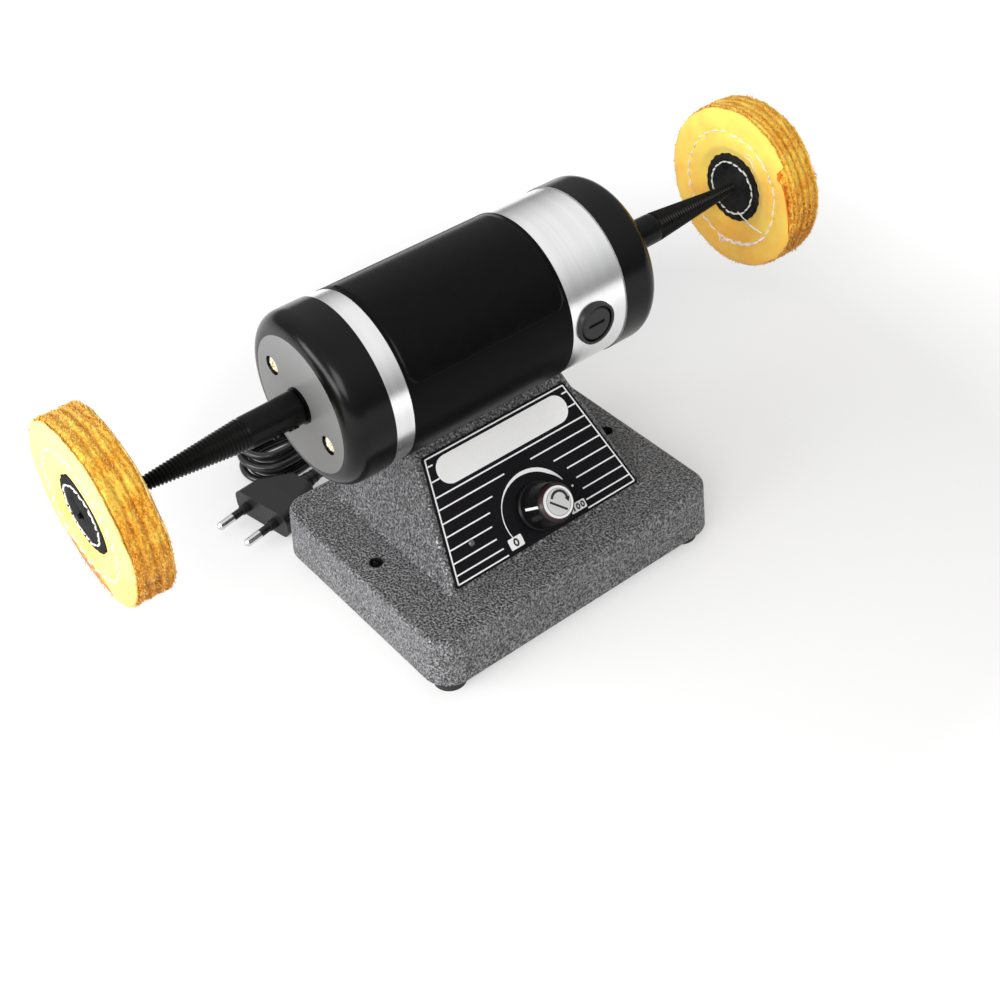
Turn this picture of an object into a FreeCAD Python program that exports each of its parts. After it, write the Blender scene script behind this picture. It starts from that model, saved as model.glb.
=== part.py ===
import FreeCAD, Part
import math
import os
import Sketcher
from FreeCAD import Placement, Rotation, Vector

# Dental polishing lathe: a speed-controlled bench motor on a cast pedestal, with a tapered screw
# spindle and a cloth buff at each end. X runs along the motor shaft, the control panel faces -Y,
# Z is up, and the origin lies on the table under the middle of the plinth.

# Driving lengths in millimetres
LENGTHS = {
    # Plinth and pedestal casting
    "plinth_width": 153.0,
    "plinth_depth": 119.0,
    "plinth_height": 23.9,
    "plinth_flare": 1.5,
    "plinth_corner": 11.0,
    "plinth_edge": 2.0,
    "casting_wall": 4.0,
    "pedestal_width": 106.8,
    "pedestal_back_margin": 9.1,
    "front_arris": 2.0,
    "back_arris": 6.0,
    "root_fillet": 1.5,
    "fixing_spacing": 131.2,
    "fixing_hole": 6.0,
    "fixing_boss": 12.0,
    "screw_boss": 10.0,
    "pilot_hole": 3.3,
    "pilot_depth": 13.0,
    # Bottom cover and feet
    "cover_thickness": 1.5,
    "cover_fit": 0.3,
    "foot_height": 7.6,
    "foot_diameter": 16.2,
    "foot_toe": 14.6,
    "foot_inset": 11.5,
    "foot_screw": 3.2,
    "foot_screw_head": 7.4,
    "foot_screw_head_height": 2.4,
    "foot_screw_length": 16.0,
    "screw_clearance": 0.5,
    # Control panel on the sloping face
    "panel_front_margin": 22.4,
    "panel_foot_rise": 3.0,
    "panel_length": 52.5,
    "panel_bottom_width": 98.7,
    "panel_top_width": 75.0,
    "panel_margin": 1.3,
    "panel_corner": 1.0,
    "panel_thickness": 1.0,
    # Speed potentiometer, knob and power lamp
    "knob_rise": 12.0,
    "knob_flange": 21.6,
    "knob_flange_height": 2.5,
    "knob_gap": 1.0,
    "knob_root": 19.6,
    "knob_shoulder": 17.8,
    "knob_shoulder_height": 17.0,
    "knob_rim": 14.8,
    "knob_height": 18.8,
    "knob_disc": 13.9,
    "knob_disc_thickness": 1.3,
    "knob_disc_stand": 0.7,
    "knob_hollow": 16.4,
    "knob_hollow_depth": 2.4,
    "shaft_flat_fit": 0.02,
    "control_shaft": 6.0,
    "control_shaft_length": 12.9,
    "control_bush": 7.0,
    "control_bush_height": 2.8,
    "control_body": 23.0,
    "control_body_depth": 13.0,
    "control_nut": 10.0,
    "control_nut_height": 2.0,
    "running_fit": 0.05,
    "hole_fit": 0.2,
    "lamp_offset": 35.3,
    "lamp_rise": 12.6,
    "lamp_diameter": 3.0,
    "lamp_flange": 4.0,
    "lamp_flange_height": 1.0,
    "lamp_stand": 0.9,
    # Motor frame
    "saddle_rise": 45.35,
    "axis_margin": 42.6,
    "tube_diameter": 74.8,
    "tube_wall": 3.0,
    "tube_length": 119.4,
    "sleeve_fit": 0.03,
    "sleeve_thickness": 0.22,
    "sleeve_left_margin": 9.0,
    "sleeve_right_margin": 29.4,
    "saddle_fit": 0.05,
    "cap_overhang": 0.5,
    "cap_length": 19.8,
    "cap_round": 7.9,
    "cap_wall": 3.0,
    "cap_bore": 12.0,
    "cap_screw_circle": 40.4,
    "cap_screw_head": 7.0,
    "cap_screw_head_height": 1.7,
    "cap_screw_shank": 2.8,
    "cap_screw_length": 9.0,
    "cap_screw_sink": 0.5,
    "cap_screw_recess": 8.4,
    "bell_plate": 2.5,
    "bell_spigot": 4.0,
    "bell_hub": 29.0,
    "bell_bore": 17.0,
    "bell_post": 8.0,
    "washer_diameter": 15.8,
    "washer_thickness": 0.9,
    "motor_bolt_spacing": 48.0,
    "motor_bolt": 4.8,
    "motor_bolt_head": 8.6,
    "motor_bolt_head_height": 5.0,
    "bolt_tip_gap": 0.15,
    # Bearings, shaft and armature
    "bearing_outside": 22.0,
    "bearing_width": 7.0,
    "bearing_seat_reach": 6.3,
    "bearing_ring": 1.7,
    "ball_clearance": 0.02,
    "shaft_end": 8.0,
    "shaft_middle": 10.4,
    "shaft_overhang": 18.5,
    "press_fit": 0.01,
    "air_gap": 0.7,
    "core_left_margin": 26.7,
    "core_right_margin": 34.7,
    "slot_mouth": 2.2,
    "slot_roof_depth": 1.5,
    "slot_lining": 0.2,
    "end_turn_gap": 0.3,
    "end_turn_length": 7.2,
    "commutator_diameter": 23.0,
    "commutator_length": 15.6,
    "commutator_margin": 9.5,
    "riser_diameter": 27.0,
    "riser_width": 1.6,
    "magnet_thickness": 7.6,
    "magnet_glue": 0.1,
    "magnet_overlap": 3.0,
    # Brush gear
    "brush_margin": 17.4,
    "holder_flange": 18.8,
    "holder_stand": 1.3,
    "holder_flange_depth": 4.8,
    "holder_stem": 15.2,
    "holder_gap": 1.5,
    "holder_hole_fit": 0.1,
    "channel_cover": 3.9,
    "brush_width": 5.0,
    "brush_height": 6.0,
    "brush_spring_length": 5.34,
    "brush_air": 0.06,
    "brush_fit": 0.1,
    "cap_seat": 16.4,
    "cap_seat_depth": 2.3,
    "brush_cap_diameter": 15.0,
    "brush_cap_thickness": 2.1,
    "brush_cap_thread": 10.8,
    "brush_cap_reach": 5.5,
    "brush_cap_slot": 1.5,
    "brush_cap_slot_length": 8.5,
    "brush_cap_slot_depth": 1.0,
    "brush_spring": 4.6,
    "brush_spring_wire": 0.5,
    # Screw spindles
    "spindle_gap": 0.4,
    "collar_root": 14.4,
    "collar_end": 13.6,
    "left_collar_length": 24.6,
    "right_collar_length": 28.2,
    "relief_width": 1.0,
    "relief_depth": 0.6,
    "cone_reach": 90.7,
    "pilot_diameter": 2.2,
    "pilot_length": 5.7,
    "tip_round": 0.6,
    "set_screw": 4.6,
    "set_screw_length": 3.6,
    "set_screw_first": 5.5,
    "set_screw_pitch": 7.0,
    # Cloth buffs
    "buff_diameter": 78.0,
    "buff_seat": 13.5,
    "buff_thickness": 18.0,
    "buff_waist": 13.8,
    "buff_edge": 3.0,
    "buff_shoulder": 41.0,
    "buff_bore": 5.0,
    "buff_bore_end": 2.6,
    "centre_disc": 32.6,
    "centre_disc_thickness": 1.2,
    # Speed control board inside the pedestal
    "board_length": 70.0,
    "board_width": 44.0,
    "board_thickness": 1.6,
    "board_margin": 34.4,
    "standoff_height": 6.0,
    "standoff_diameter": 6.0,
    "standoff_inset": 5.0,
    "sink_length": 30.0,
    "sink_width": 14.0,
    "sink_height": 18.0,
    "sink_web": 2.0,
    "sink_offset": 14.0,
    "terminal_length": 15.0,
    "terminal_width": 9.0,
    "terminal_height": 10.0,
    "terminal_offset": 22.0,
    "capacitor_length": 18.0,
    "capacitor_width": 8.0,
    "capacitor_height": 14.0,
    # Mains lead
    "cord_diameter": 3.6,
    "gland_across": 48.0,
    "gland_height": 14.6,
    "gland_flange": 10.4,
    "gland_flange_thickness": 2.0,
    "gland_neck": 8.0,
    "gland_reach": 18.08,
    "gland_seat": 0.35,
    "gland_end": 4.8,
    "gland_groove_depth": 0.5,
    "gland_groove_width": 1.4,
    "plug_width": 35.3,
    "plug_depth": 13.7,
    "plug_corner": 5.0,
    "plug_body_length": 12.0,
    "plug_shoulder_width": 33.0,
    "plug_neck_length": 14.0,
    "plug_neck_width": 18.0,
    "plug_neck_depth": 10.5,
    "plug_relief_length": 18.0,
    "plug_relief_root": 8.4,
    "plug_relief_end": 4.6,
    "pin_pitch": 18.6,
    "pin_diameter": 4.0,
    "pin_length": 19.0,
    "pin_sleeve_length": 10.0,
    "pin_sleeve_diameter": 3.9,
    "pin_root_diameter": 4.9,
    "pin_root_length": 4.0,
    "pin_tip_round": 1.2,
    "hank_outer_lane": 15.2,
    "hank_inner_lane": 10.8,
    "hank_draw": 5.4,
    "hank_rise": 4.2,
    "tie_width": 5.0,
    "tie_thickness": 0.8,
    "tie_slack": 0.15,
}

# Driving angles in degrees
ANGLES = {
    "pedestal_draft": 15.1,
    "panel_slope": 50.0,
    "set_screw_angle": 139.0,
    "cap_screw_angle": 29.0,
    "magnet_arc": 130.0,
}

# How many of each repeated feature
COUNTS = {
    "slot_count": 12,
    "sink_fin_count": 4,
    "gland_groove_count": 4,
    "plug_groove_count": 4,
    "bearing_ball_count": 7,
    "gap_point_count": 900,
}

# The mains lead's hand-chosen route in millimetres: gland to hank, then hank to plug
ENTRY_ROUTE = [(48.0, 81.0, 14.6), (48.0, 87.7, 14.6), (46.4, 94.1, 12.5), (43.0, 98.9, 8.7),
               (37.9, 102.3, 5.1), (31.5, 104.0, 2.8), (24.6, 104.0, 2.8)]
TAIL_ROUTE = [(16.0, 104.0, 15.4), (5.0, 104.0, 15.4), (-5.6, 101.6, 13.0), (-13.6, 98.2, 9.2),
              (-22.36, 95.58, 6.9), (-31.0, 93.9, 6.9)]
HANK_START = Vector(24.6, 104.0, 2.8)
HANK_LEFT = -46.8
HANK_RIGHT = 20.0
HANK_END = Vector(16.0, 104.0, 15.4)
PLUG_FACE = Vector(-74.2, 85.5, 6.9)
PLUG_END = Vector(-31.0, 93.9, 6.9)

# Shares and tolerances used by the forms
ARC_SHARE = 0.45
FLAT_SHARE = 0.0005
SAME_PLACE = 0.01
HEAD_EDGE_SHARE = 0.25
HEAD_CROWN_SHARE = 0.7
LAMP_DOME_SHARE = 0.9
SHAFT_CHAMFER_SHARE = 0.25
SLOT_FLOOR_SHARE = 14 / 26
SLOT_WIDTH_SHARE = 0.682
CLIP_SHARE = 0.25
CROWN_SHARE = 0.19

VALUES = {**LENGTHS, **ANGLES, **COUNTS}

doc = FreeCAD.newDocument("dental_polishing_lathe")
sheet = doc.addObject("Spreadsheet::Sheet", "sizes")
pieces = []


class Size:
    """A dimension that knows its present number and the spreadsheet formula that gives it."""

    def __init__(self, value, text):
        self.value = value
        self.text = text

    def joined(self, other, sign, value):
        return Size(value, "(" + self.text + " " + sign + " " + other.text + ")")

    def __add__(self, other):
        other = as_size(other)
        return self.joined(other, "+", self.value + other.value)

    def __sub__(self, other):
        other = as_size(other)
        return self.joined(other, "-", self.value - other.value)

    def __mul__(self, other):
        other = as_size(other)
        return self.joined(other, "*", self.value * other.value)

    def __truediv__(self, other):
        other = as_size(other)
        return self.joined(other, "/", self.value / other.value)

    def __radd__(self, other):
        return as_size(other) + self

    def __rsub__(self, other):
        return as_size(other) - self

    def __rmul__(self, other):
        return as_size(other) * self

    def __neg__(self):
        return Size(-self.value, "(-" + self.text + ")")


def as_size(number):
    return number if isinstance(number, Size) else Size(float(number), repr(float(number)))


def sine(angle):
    return Size(math.sin(math.radians(angle.value)), "sin(" + angle.text + " * 1 deg)")


def cosine(angle):
    return Size(math.cos(math.radians(angle.value)), "cos(" + angle.text + " * 1 deg)")


def slant(run, rise):
    """The angle whose tangent is run over rise."""
    angle = math.degrees(math.atan2(run.value, rise.value))
    return Size(angle, "atan(" + (run / rise).text + ")")


def tangent(angle):
    return Size(math.tan(math.radians(angle.value)), "tan(" + angle.text + " * 1 deg)")


def write_sheet():
    for row, (name, value) in enumerate(VALUES.items(), start=1):
        sheet.set("A" + str(row), name.replace("_", " "))
        sheet.set("B" + str(row), repr(value))
        sheet.setAlias("B" + str(row), name)
    doc.recompute()


def size(name):
    return Size(VALUES[name], "sizes." + name)


# Helpers that draw, make and place features bound to the sheet

ZERO = as_size(0)


def new_body(label):
    body = doc.addObject("PartDesign::Body", label)
    body.Label = label
    return body


def keep(piece, label=None):
    if label:
        piece.Label = label
    pieces.append(piece)
    return piece


def place(piece, x=ZERO, y=ZERO, z=ZERO, axis=None, angle=None):
    if axis:
        piece.Placement = Placement(Vector(0, 0, 0), Rotation(axis, angle.value))
        piece.setExpression("Placement.Rotation.Angle", angle.text)
    for name, value in (("x", x), ("y", y), ("z", z)):
        piece.setExpression("Placement.Base." + name, as_size(value).text)


def new_sketch(body, role, name, x=ZERO, y=ZERO, z=ZERO, tilt=None):
    """A sketch on one of the body's own planes, moved and tilted about X by sheet values."""
    sketch = body.newObject("Sketcher::SketchObject", name)
    plane = [feature for feature in body.Origin.OriginFeatures if feature.Role == role][0]
    sketch.AttachmentSupport = [(plane, "")]
    sketch.MapMode = "FlatFace"
    if tilt:
        sketch.AttachmentOffset = Placement(Vector(0, 0, 0), Rotation(Vector(1, 0, 0), tilt.value))
        sketch.setExpression("AttachmentOffset.Rotation.Angle", tilt.text)
    for axis, value in (("x", x), ("y", y), ("z", z)):
        sketch.setExpression("AttachmentOffset.Base." + axis, as_size(value).text)
    return sketch


def pin(sketch, line, end, x, y):
    """Holds one point of the sketch at sheet values."""
    for kind, value, axis_line in (("DistanceX", as_size(x), -2), ("DistanceY", as_size(y), -1)):
        if value.text == ZERO.text:
            sketch.addConstraint(Sketcher.Constraint("PointOnObject", line, end, axis_line))
        else:
            index = sketch.addConstraint(Sketcher.Constraint(kind, line, end, value.value))
            sketch.setExpression("Constraints[" + str(index) + "]", value.text)


def polygon(sketch, points):
    points = [(as_size(x), as_size(y)) for x, y in points]
    first = sketch.GeometryCount
    count = len(points)
    for index in range(count):
        start = points[index]
        end = points[(index + 1) % count]
        line = Part.LineSegment(Vector(start[0].value, start[1].value, 0),
                                Vector(end[0].value, end[1].value, 0))
        sketch.addGeometry(line, False)
    for index in range(count):
        following = first + (index + 1) % count
        sketch.addConstraint(Sketcher.Constraint("Coincident", first + index, 2, following, 1))
    for index, (x, y) in enumerate(points):
        pin(sketch, first + index, 1, x, y)


def circle(sketch, x, y, diameter):
    x, y, diameter = as_size(x), as_size(y), as_size(diameter)
    shape = Part.Circle(Vector(x.value, y.value, 0), Vector(0, 0, 1), diameter.value / 2)
    line = sketch.addGeometry(shape, False)
    pin(sketch, line, 3, x, y)
    index = sketch.addConstraint(Sketcher.Constraint("Diameter", line, diameter.value))
    sketch.setExpression("Constraints[" + str(index) + "]", diameter.text)


def rounded_rectangle(sketch, half_x, half_y, radius, centre_y=ZERO):
    """A rectangle about (0, centre_y) with round corners, every point tied to the sheet."""
    half_x, half_y, radius, centre_y = [as_size(value) for value in (half_x, half_y, radius, centre_y)]
    flat_x = half_x - radius
    flat_y = half_y - radius
    corners = [
        ((half_x, centre_y - flat_y), (half_x, centre_y + flat_y), (flat_x, centre_y + flat_y), 0),
        ((flat_x, centre_y + half_y), (-flat_x, centre_y + half_y), (-flat_x, centre_y + flat_y), 90),
        ((-half_x, centre_y + flat_y), (-half_x, centre_y - flat_y), (-flat_x, centre_y - flat_y), 180),
        ((-flat_x, centre_y - half_y), (flat_x, centre_y - half_y), (flat_x, centre_y - flat_y), 270),
    ]
    first = sketch.GeometryCount
    for start, end, centre, turn in corners:
        line = Part.LineSegment(Vector(start[0].value, start[1].value, 0),
                                Vector(end[0].value, end[1].value, 0))
        sketch.addGeometry(line, False)
        arc = Part.Circle(Vector(centre[0].value, centre[1].value, 0), Vector(0, 0, 1), radius.value)
        begin = math.radians(turn)
        sketch.addGeometry(Part.ArcOfCircle(arc, begin, begin + math.pi / 2), False)
    for index, (start, end, centre, turn) in enumerate(corners):
        line = first + 2 * index
        following = first + (2 * index + 2) % 8
        pin(sketch, line, 1, *start)
        pin(sketch, line, 2, *end)
        sketch.addConstraint(Sketcher.Constraint("Coincident", line + 1, 1, line, 2))
        sketch.addConstraint(Sketcher.Constraint("Coincident", line + 1, 2, following, 1))
        rounding = sketch.addConstraint(Sketcher.Constraint("Radius", line + 1, radius.value))
        sketch.setExpression("Constraints[" + str(rounding) + "]", radius.text)


def pad(body, sketch, length, both_ways=False, pocket=False, flip=False):
    kind = "PartDesign::Pocket" if pocket else "PartDesign::Pad"
    feature = body.newObject(kind, sketch.Name + "_run")
    feature.Profile = sketch
    feature.Midplane = both_ways
    feature.Reversed = flip
    feature.setExpression("Length", as_size(length).text)
    return feature


def pocket(body, sketch, length, both_ways=False, flip=False):
    return pad(body, sketch, length, both_ways, True, flip)


def revolve(body, sketch, axis="H_Axis", groove=False):
    kind = "PartDesign::Groove" if groove else "PartDesign::Revolution"
    feature = body.newObject(kind, sketch.Name + "_turn")
    feature.Profile = sketch
    feature.ReferenceAxis = (sketch, [axis])
    feature.Angle = 360
    return feature


def loft(body, sections, subtract=False):
    kind = "PartDesign::SubtractiveLoft" if subtract else "PartDesign::AdditiveLoft"
    feature = body.newObject(kind, sections[0].Name + "_loft")
    feature.Profile = sections[0]
    feature.Sections = sections[1:]
    feature.Ruled = True
    return feature


def polar(body, feature, count):
    pattern = body.newObject("PartDesign::PolarPattern", feature.Name + "_ring")
    pattern.Originals = [feature]
    axis = [item for item in body.Origin.OriginFeatures if item.Role == "X_Axis"][0]
    pattern.Axis = (axis, [""])
    pattern.Angle = 360
    pattern.setExpression("Occurrences", count.text)
    body.Tip = pattern
    return pattern


def soften(body, test, radius, kind="PartDesign::Fillet"):
    """Rounds the edges of the body so far whose middle point passes the test."""
    doc.recompute()
    base = body.Tip
    names = []
    for index, edge in enumerate(base.Shape.Edges, start=1):
        middle = edge.valueAt((edge.FirstParameter + edge.LastParameter) / 2)
        if test(edge, middle):
            names.append("Edge" + str(index))
    feature = body.newObject(kind, body.Label + "_" + base.Name + "_round")
    feature.Base = (base, names)
    prop = "Radius" if kind.endswith("Fillet") else "Size"
    feature.setExpression(prop, as_size(radius).text)
    return feature


def close(first, second):
    return abs(first - second) < SAME_PLACE


def turned(label, points, axis="H_Axis", role="XY_Plane"):
    """A turned piece: its profile revolved about the first or second axis of the sketch."""
    body = new_body(label)
    sketch = new_sketch(body, role, label + "_profile")
    polygon(sketch, points)
    revolve(body, sketch, axis)
    return body


def block(label, length, width, height, x, y, z):
    """A rectangular block centred on x and y, standing on z."""
    box = doc.addObject("Part::Box", label)
    box.Label = label
    for name, value in (("Length", length), ("Width", width), ("Height", height)):
        box.setExpression(name, as_size(value).text)
    place(box, x - length / 2, y - width / 2, z)
    return box


def mirrored(source, label, normal=Vector(1, 0, 0)):
    mirror = doc.addObject("Part::Mirroring", label)
    mirror.Label = label
    mirror.Source = source
    mirror.Normal = normal
    mirror.Base = Vector(0, 0, 0)
    return mirror


def group(label, members):
    compound = doc.addObject("Part::Compound", label)
    compound.Label = label
    compound.Links = members
    return compound


def four_corners(label, source):
    """The piece and its three mirror images about the middle planes, as one group."""
    twin = mirrored(source, label + "_across")
    pair = [source, twin]
    back = [mirrored(member, label + "_back_" + str(index), Vector(0, 1, 0))
            for index, member in enumerate(pair)]
    return keep(group(label, pair + back))


def on_motor_axis(body):
    place(body, ZERO, axis_back, axis_height)
    return body


def on_panel(body, across, rise):
    """Places a body with its local Z along the panel's normal, at a place on the panel face."""
    slope = size("panel_slope")
    y = rise * cosine(slope) - panel_foot
    z = rise * sine(slope) + size("panel_foot_rise") + size("foot_height") + size("plinth_height")
    place(body, across, y, z, Vector(1, 0, 0), slope)
    return body


# Places worked out once from the sheet and used by several pieces

write_sheet()

plinth_top = size("foot_height") + size("plinth_height")
pedestal_back_edge = size("plinth_depth") / 2 - size("pedestal_back_margin")
panel_foot = size("plinth_depth") / 2 - size("panel_front_margin")
axis_back = size("plinth_depth") / 2 - size("axis_margin")
cavity_floor_x = size("plinth_width") / 2 + size("plinth_flare") - size("casting_wall")
cavity_floor_y = size("plinth_depth") / 2 + size("plinth_flare") - size("casting_wall")
foot_x = size("plinth_width") / 2 + size("plinth_flare") - size("foot_inset")
foot_y = size("plinth_depth") / 2 + size("plinth_flare") - size("foot_inset")
sleeve_bore = size("tube_diameter") / 2 + size("sleeve_fit")
motor_skin = sleeve_bore + size("sleeve_thickness")
saddle_radius = motor_skin + size("saddle_fit")
axis_height = plinth_top + size("saddle_rise") + saddle_radius
tube_bore = size("tube_diameter") / 2 - size("tube_wall")
magnet_bore = tube_bore - size("magnet_glue") - size("magnet_thickness")
core_radius = magnet_bore - size("air_gap")
slot_floor = core_radius * SLOT_FLOOR_SHARE
slot_roof = core_radius - size("slot_roof_depth")
slot_width = slot_floor * (math.tau * SLOT_WIDTH_SHARE) / size("slot_count")
cap_start = size("tube_length") / 2
cap_radius = size("tube_diameter") / 2 + size("cap_overhang")
core_left = cap_start - size("core_left_margin")
core_right = cap_start - size("core_right_margin")
commutator_right = cap_start - size("commutator_margin")
commutator_left = commutator_right - size("commutator_length")
brush_place = cap_start - size("brush_margin")
bearing_seat = cap_start + size("bearing_seat_reach")
cap_face = cap_start + size("cap_length")
spindle_start = cap_face + size("washer_thickness") + size("spindle_gap")
shaft_reach = cap_face + size("shaft_overhang")
cone_end = spindle_start + size("cone_reach")
spindle_tip = cone_end + size("pilot_length")
overrun = size("casting_wall") / 2


def pedestal_front(rise, inset=ZERO):
    """Y of the casting's sloping front face at a rise above the plinth top."""
    slope = size("panel_slope")
    thickness = size("panel_thickness")
    foot = thickness * sine(slope) - panel_foot
    foot = foot - (size("panel_foot_rise") - thickness * cosine(slope)) / tangent(slope)
    return foot + rise / tangent(slope) + inset / sine(slope)


def pedestal_side(rise, inset=ZERO):
    draft = size("pedestal_draft")
    return size("pedestal_width") / 2 - rise * tangent(draft) - inset / cosine(draft)


def pedestal_back(rise, inset=ZERO):
    draft = size("pedestal_draft")
    return pedestal_back_edge - rise * tangent(draft) - inset / cosine(draft)


def pedestal_section(body, name, rise, inset=ZERO):
    section = new_sketch(body, "XY_Plane", name, z=size("plinth_height") + rise)
    side = pedestal_side(rise, inset)
    front = pedestal_front(rise, inset)
    back = pedestal_back(rise, inset)
    polygon(section, [(-side, front), (side, front), (side, back), (-side, back)])
    return section


# Base casting

def make_base_casting():
    """One iron casting: a hollow flared plinth, and a hollow pedestal that leans back to the saddle."""
    body = new_body("base_casting")
    wall = size("casting_wall")
    height = size("plinth_height")
    half_x = size("plinth_width") / 2
    half_y = size("plinth_depth") / 2
    flare = size("plinth_flare")
    corner = size("plinth_corner")
    top = new_sketch(body, "XY_Plane", "plinth_top", z=height)
    rounded_rectangle(top, half_x, half_y, corner)
    plinth = pad(body, top, height, flip=True)
    plinth.setExpression("TaperAngle", slant(flare, height).text)
    soften(body, lambda edge, middle: close(middle.z, height.value) and edge.BoundBox.ZLength < SAME_PLACE,
           size("plinth_edge"))

    crown_rise = size("saddle_rise") + saddle_radius * CROWN_SHARE
    root = pedestal_section(body, "pedestal_root", -overrun)
    crown = pedestal_section(body, "pedestal_crown", crown_rise)
    loft(body, [root, crown])
    soften(body, lambda edge, middle: is_arris(edge, middle) and middle.y < 0, size("front_arris"))
    soften(body, lambda edge, middle: is_arris(edge, middle) and middle.y > axis_back.value,
           size("back_arris"))
    soften(body, lambda edge, middle: is_root_edge(edge, middle), size("root_fillet"))

    saddle = new_sketch(body, "YZ_Plane", "saddle")
    circle(saddle, axis_back, axis_height - size("foot_height"), saddle_radius * 2)
    pocket(body, saddle, size("plinth_width"), both_ways=True)

    floor = new_sketch(body, "XY_Plane", "cavity_floor")
    rounded_rectangle(floor, cavity_floor_x, cavity_floor_y, corner + flare - wall)
    roof = new_sketch(body, "XY_Plane", "cavity_roof", z=height - wall)
    roof_flare = flare * wall / height
    inset = wall - roof_flare
    rounded_rectangle(roof, half_x - inset, half_y - inset, corner - inset)
    loft(body, [floor, roof], subtract=True)

    saddle_roof = axis_height - plinth_top - saddle_radius - wall
    mouth = pedestal_section(body, "pedestal_mouth", -wall - overrun, wall)
    ceiling = pedestal_section(body, "pedestal_ceiling", saddle_roof, wall)
    loft(body, [mouth, ceiling], subtract=True)

    bosses = new_sketch(body, "XY_Plane", "bosses", z=size("cover_thickness"))
    for side in (-1, 1):
        circle(bosses, size("fixing_spacing") / 2 * side, 0, size("fixing_boss"))
        for end in (-1, 1):
            circle(bosses, foot_x * side, foot_y * end, size("screw_boss"))
    pad(body, bosses, height - size("cover_thickness") - wall / 2)

    pilots = new_sketch(body, "XY_Plane", "pilots")
    for side in (-1, 1):
        for end in (-1, 1):
            circle(pilots, foot_x * side, foot_y * end, size("pilot_hole"))
    pocket(body, pilots, size("cover_thickness") + size("pilot_depth"), flip=True)
    fixings = new_sketch(body, "XY_Plane", "fixings")
    for side in (-1, 1):
        circle(fixings, size("fixing_spacing") / 2 * side, 0, size("fixing_hole"))
    pocket(body, fixings, height + overrun, flip=True)

    bolts = new_sketch(body, "XY_Plane", "bolt_holes", z=axis_height - size("foot_height"))
    for side in (-1, 1):
        circle(bolts, size("motor_bolt_spacing") / 2 * side, axis_back,
               size("motor_bolt") + size("hole_fit") * 2)
    pocket(body, bolts, saddle_radius + wall + overrun)

    slope = size("panel_slope")
    front = new_sketch(body, "XY_Plane", "front_holes", y=-panel_foot,
                       z=height + size("panel_foot_rise"), tilt=slope)
    circle(front, 0, size("knob_rise"), size("control_bush") + size("hole_fit") * 2)
    circle(front, -size("lamp_offset"), size("lamp_rise"), size("lamp_diameter") + size("hole_fit") * 2)
    pocket(body, front, size("panel_thickness") + wall + overrun)

    lead = new_sketch(body, "XZ_Plane", "lead_hole")
    circle(lead, size("gland_across"), size("gland_height") - size("foot_height"),
           size("gland_neck") + size("hole_fit") * 2)
    pocket(body, lead, half_y + flare + overrun)
    place(body, z=size("foot_height"))
    return keep(body)


def is_arris(edge, middle):
    """True on the pedestal's four slanting corner edges."""
    return edge.BoundBox.ZLength > size("plinth_height").value and middle.z > size("plinth_height").value


def is_root_edge(edge, middle):
    """True where the pedestal grows out of the plinth's top."""
    top = size("plinth_height").value
    inside_x = abs(middle.x) < size("plinth_width").value / 2 - size("plinth_corner").value
    inside_y = abs(middle.y) < size("plinth_depth").value / 2 - size("plinth_edge").value * 2
    return edge.BoundBox.ZLength < SAME_PLACE and close(middle.z, top) and inside_x and inside_y


# Bottom cover and feet

def make_base_cover():
    body = new_body("base_cover")
    outline = new_sketch(body, "XY_Plane", "cover_outline")
    slack = size("cover_fit")
    corner = size("plinth_corner") + size("plinth_flare") - size("casting_wall") - slack
    rounded_rectangle(outline, cavity_floor_x - slack, cavity_floor_y - slack, corner)
    pad(body, outline, size("cover_thickness"))
    holes = new_sketch(body, "XY_Plane", "cover_holes")
    for side in (-1, 1):
        circle(holes, size("fixing_spacing") / 2 * side, 0, size("fixing_hole") + size("screw_clearance"))
        for end in (-1, 1):
            circle(holes, foot_x * side, foot_y * end, size("foot_screw") + size("screw_clearance"))
    pocket(body, holes, size("cover_thickness") + overrun, flip=True)
    place(body, z=size("foot_height"))
    return keep(body)


def make_feet():
    """Four round rubber feet, each held by a screw that also holds the cover."""
    height = size("foot_height")
    hole = size("foot_screw") / 2 + size("screw_clearance") / 2
    recess = size("foot_screw_head") / 2 + size("screw_clearance")
    recess_depth = height / 2
    head = size("foot_screw_head") / 2
    foot = turned("foot", [
        (recess, 0), (size("foot_toe") / 2, 0), (size("foot_diameter") / 2, height), (hole, height),
        (hole, recess_depth), (recess, recess_depth)], "V_Axis", "XZ_Plane")
    place(foot, foot_x, foot_y)
    four_corners("rubber_feet", foot)

    head_bottom = recess_depth - size("foot_screw_head_height")
    tip = recess_depth + size("foot_screw_length")
    thread = size("foot_screw") / 2
    screw = turned("foot_screw_form", [
        (0, head_bottom), (head, head_bottom), (head, recess_depth), (thread, recess_depth),
        (thread, tip), (0, tip)], "V_Axis", "XZ_Plane")
    place(screw, foot_x, foot_y)
    four_corners("foot_screws", screw)


# Control panel, potentiometer, knob and lamp

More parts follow.
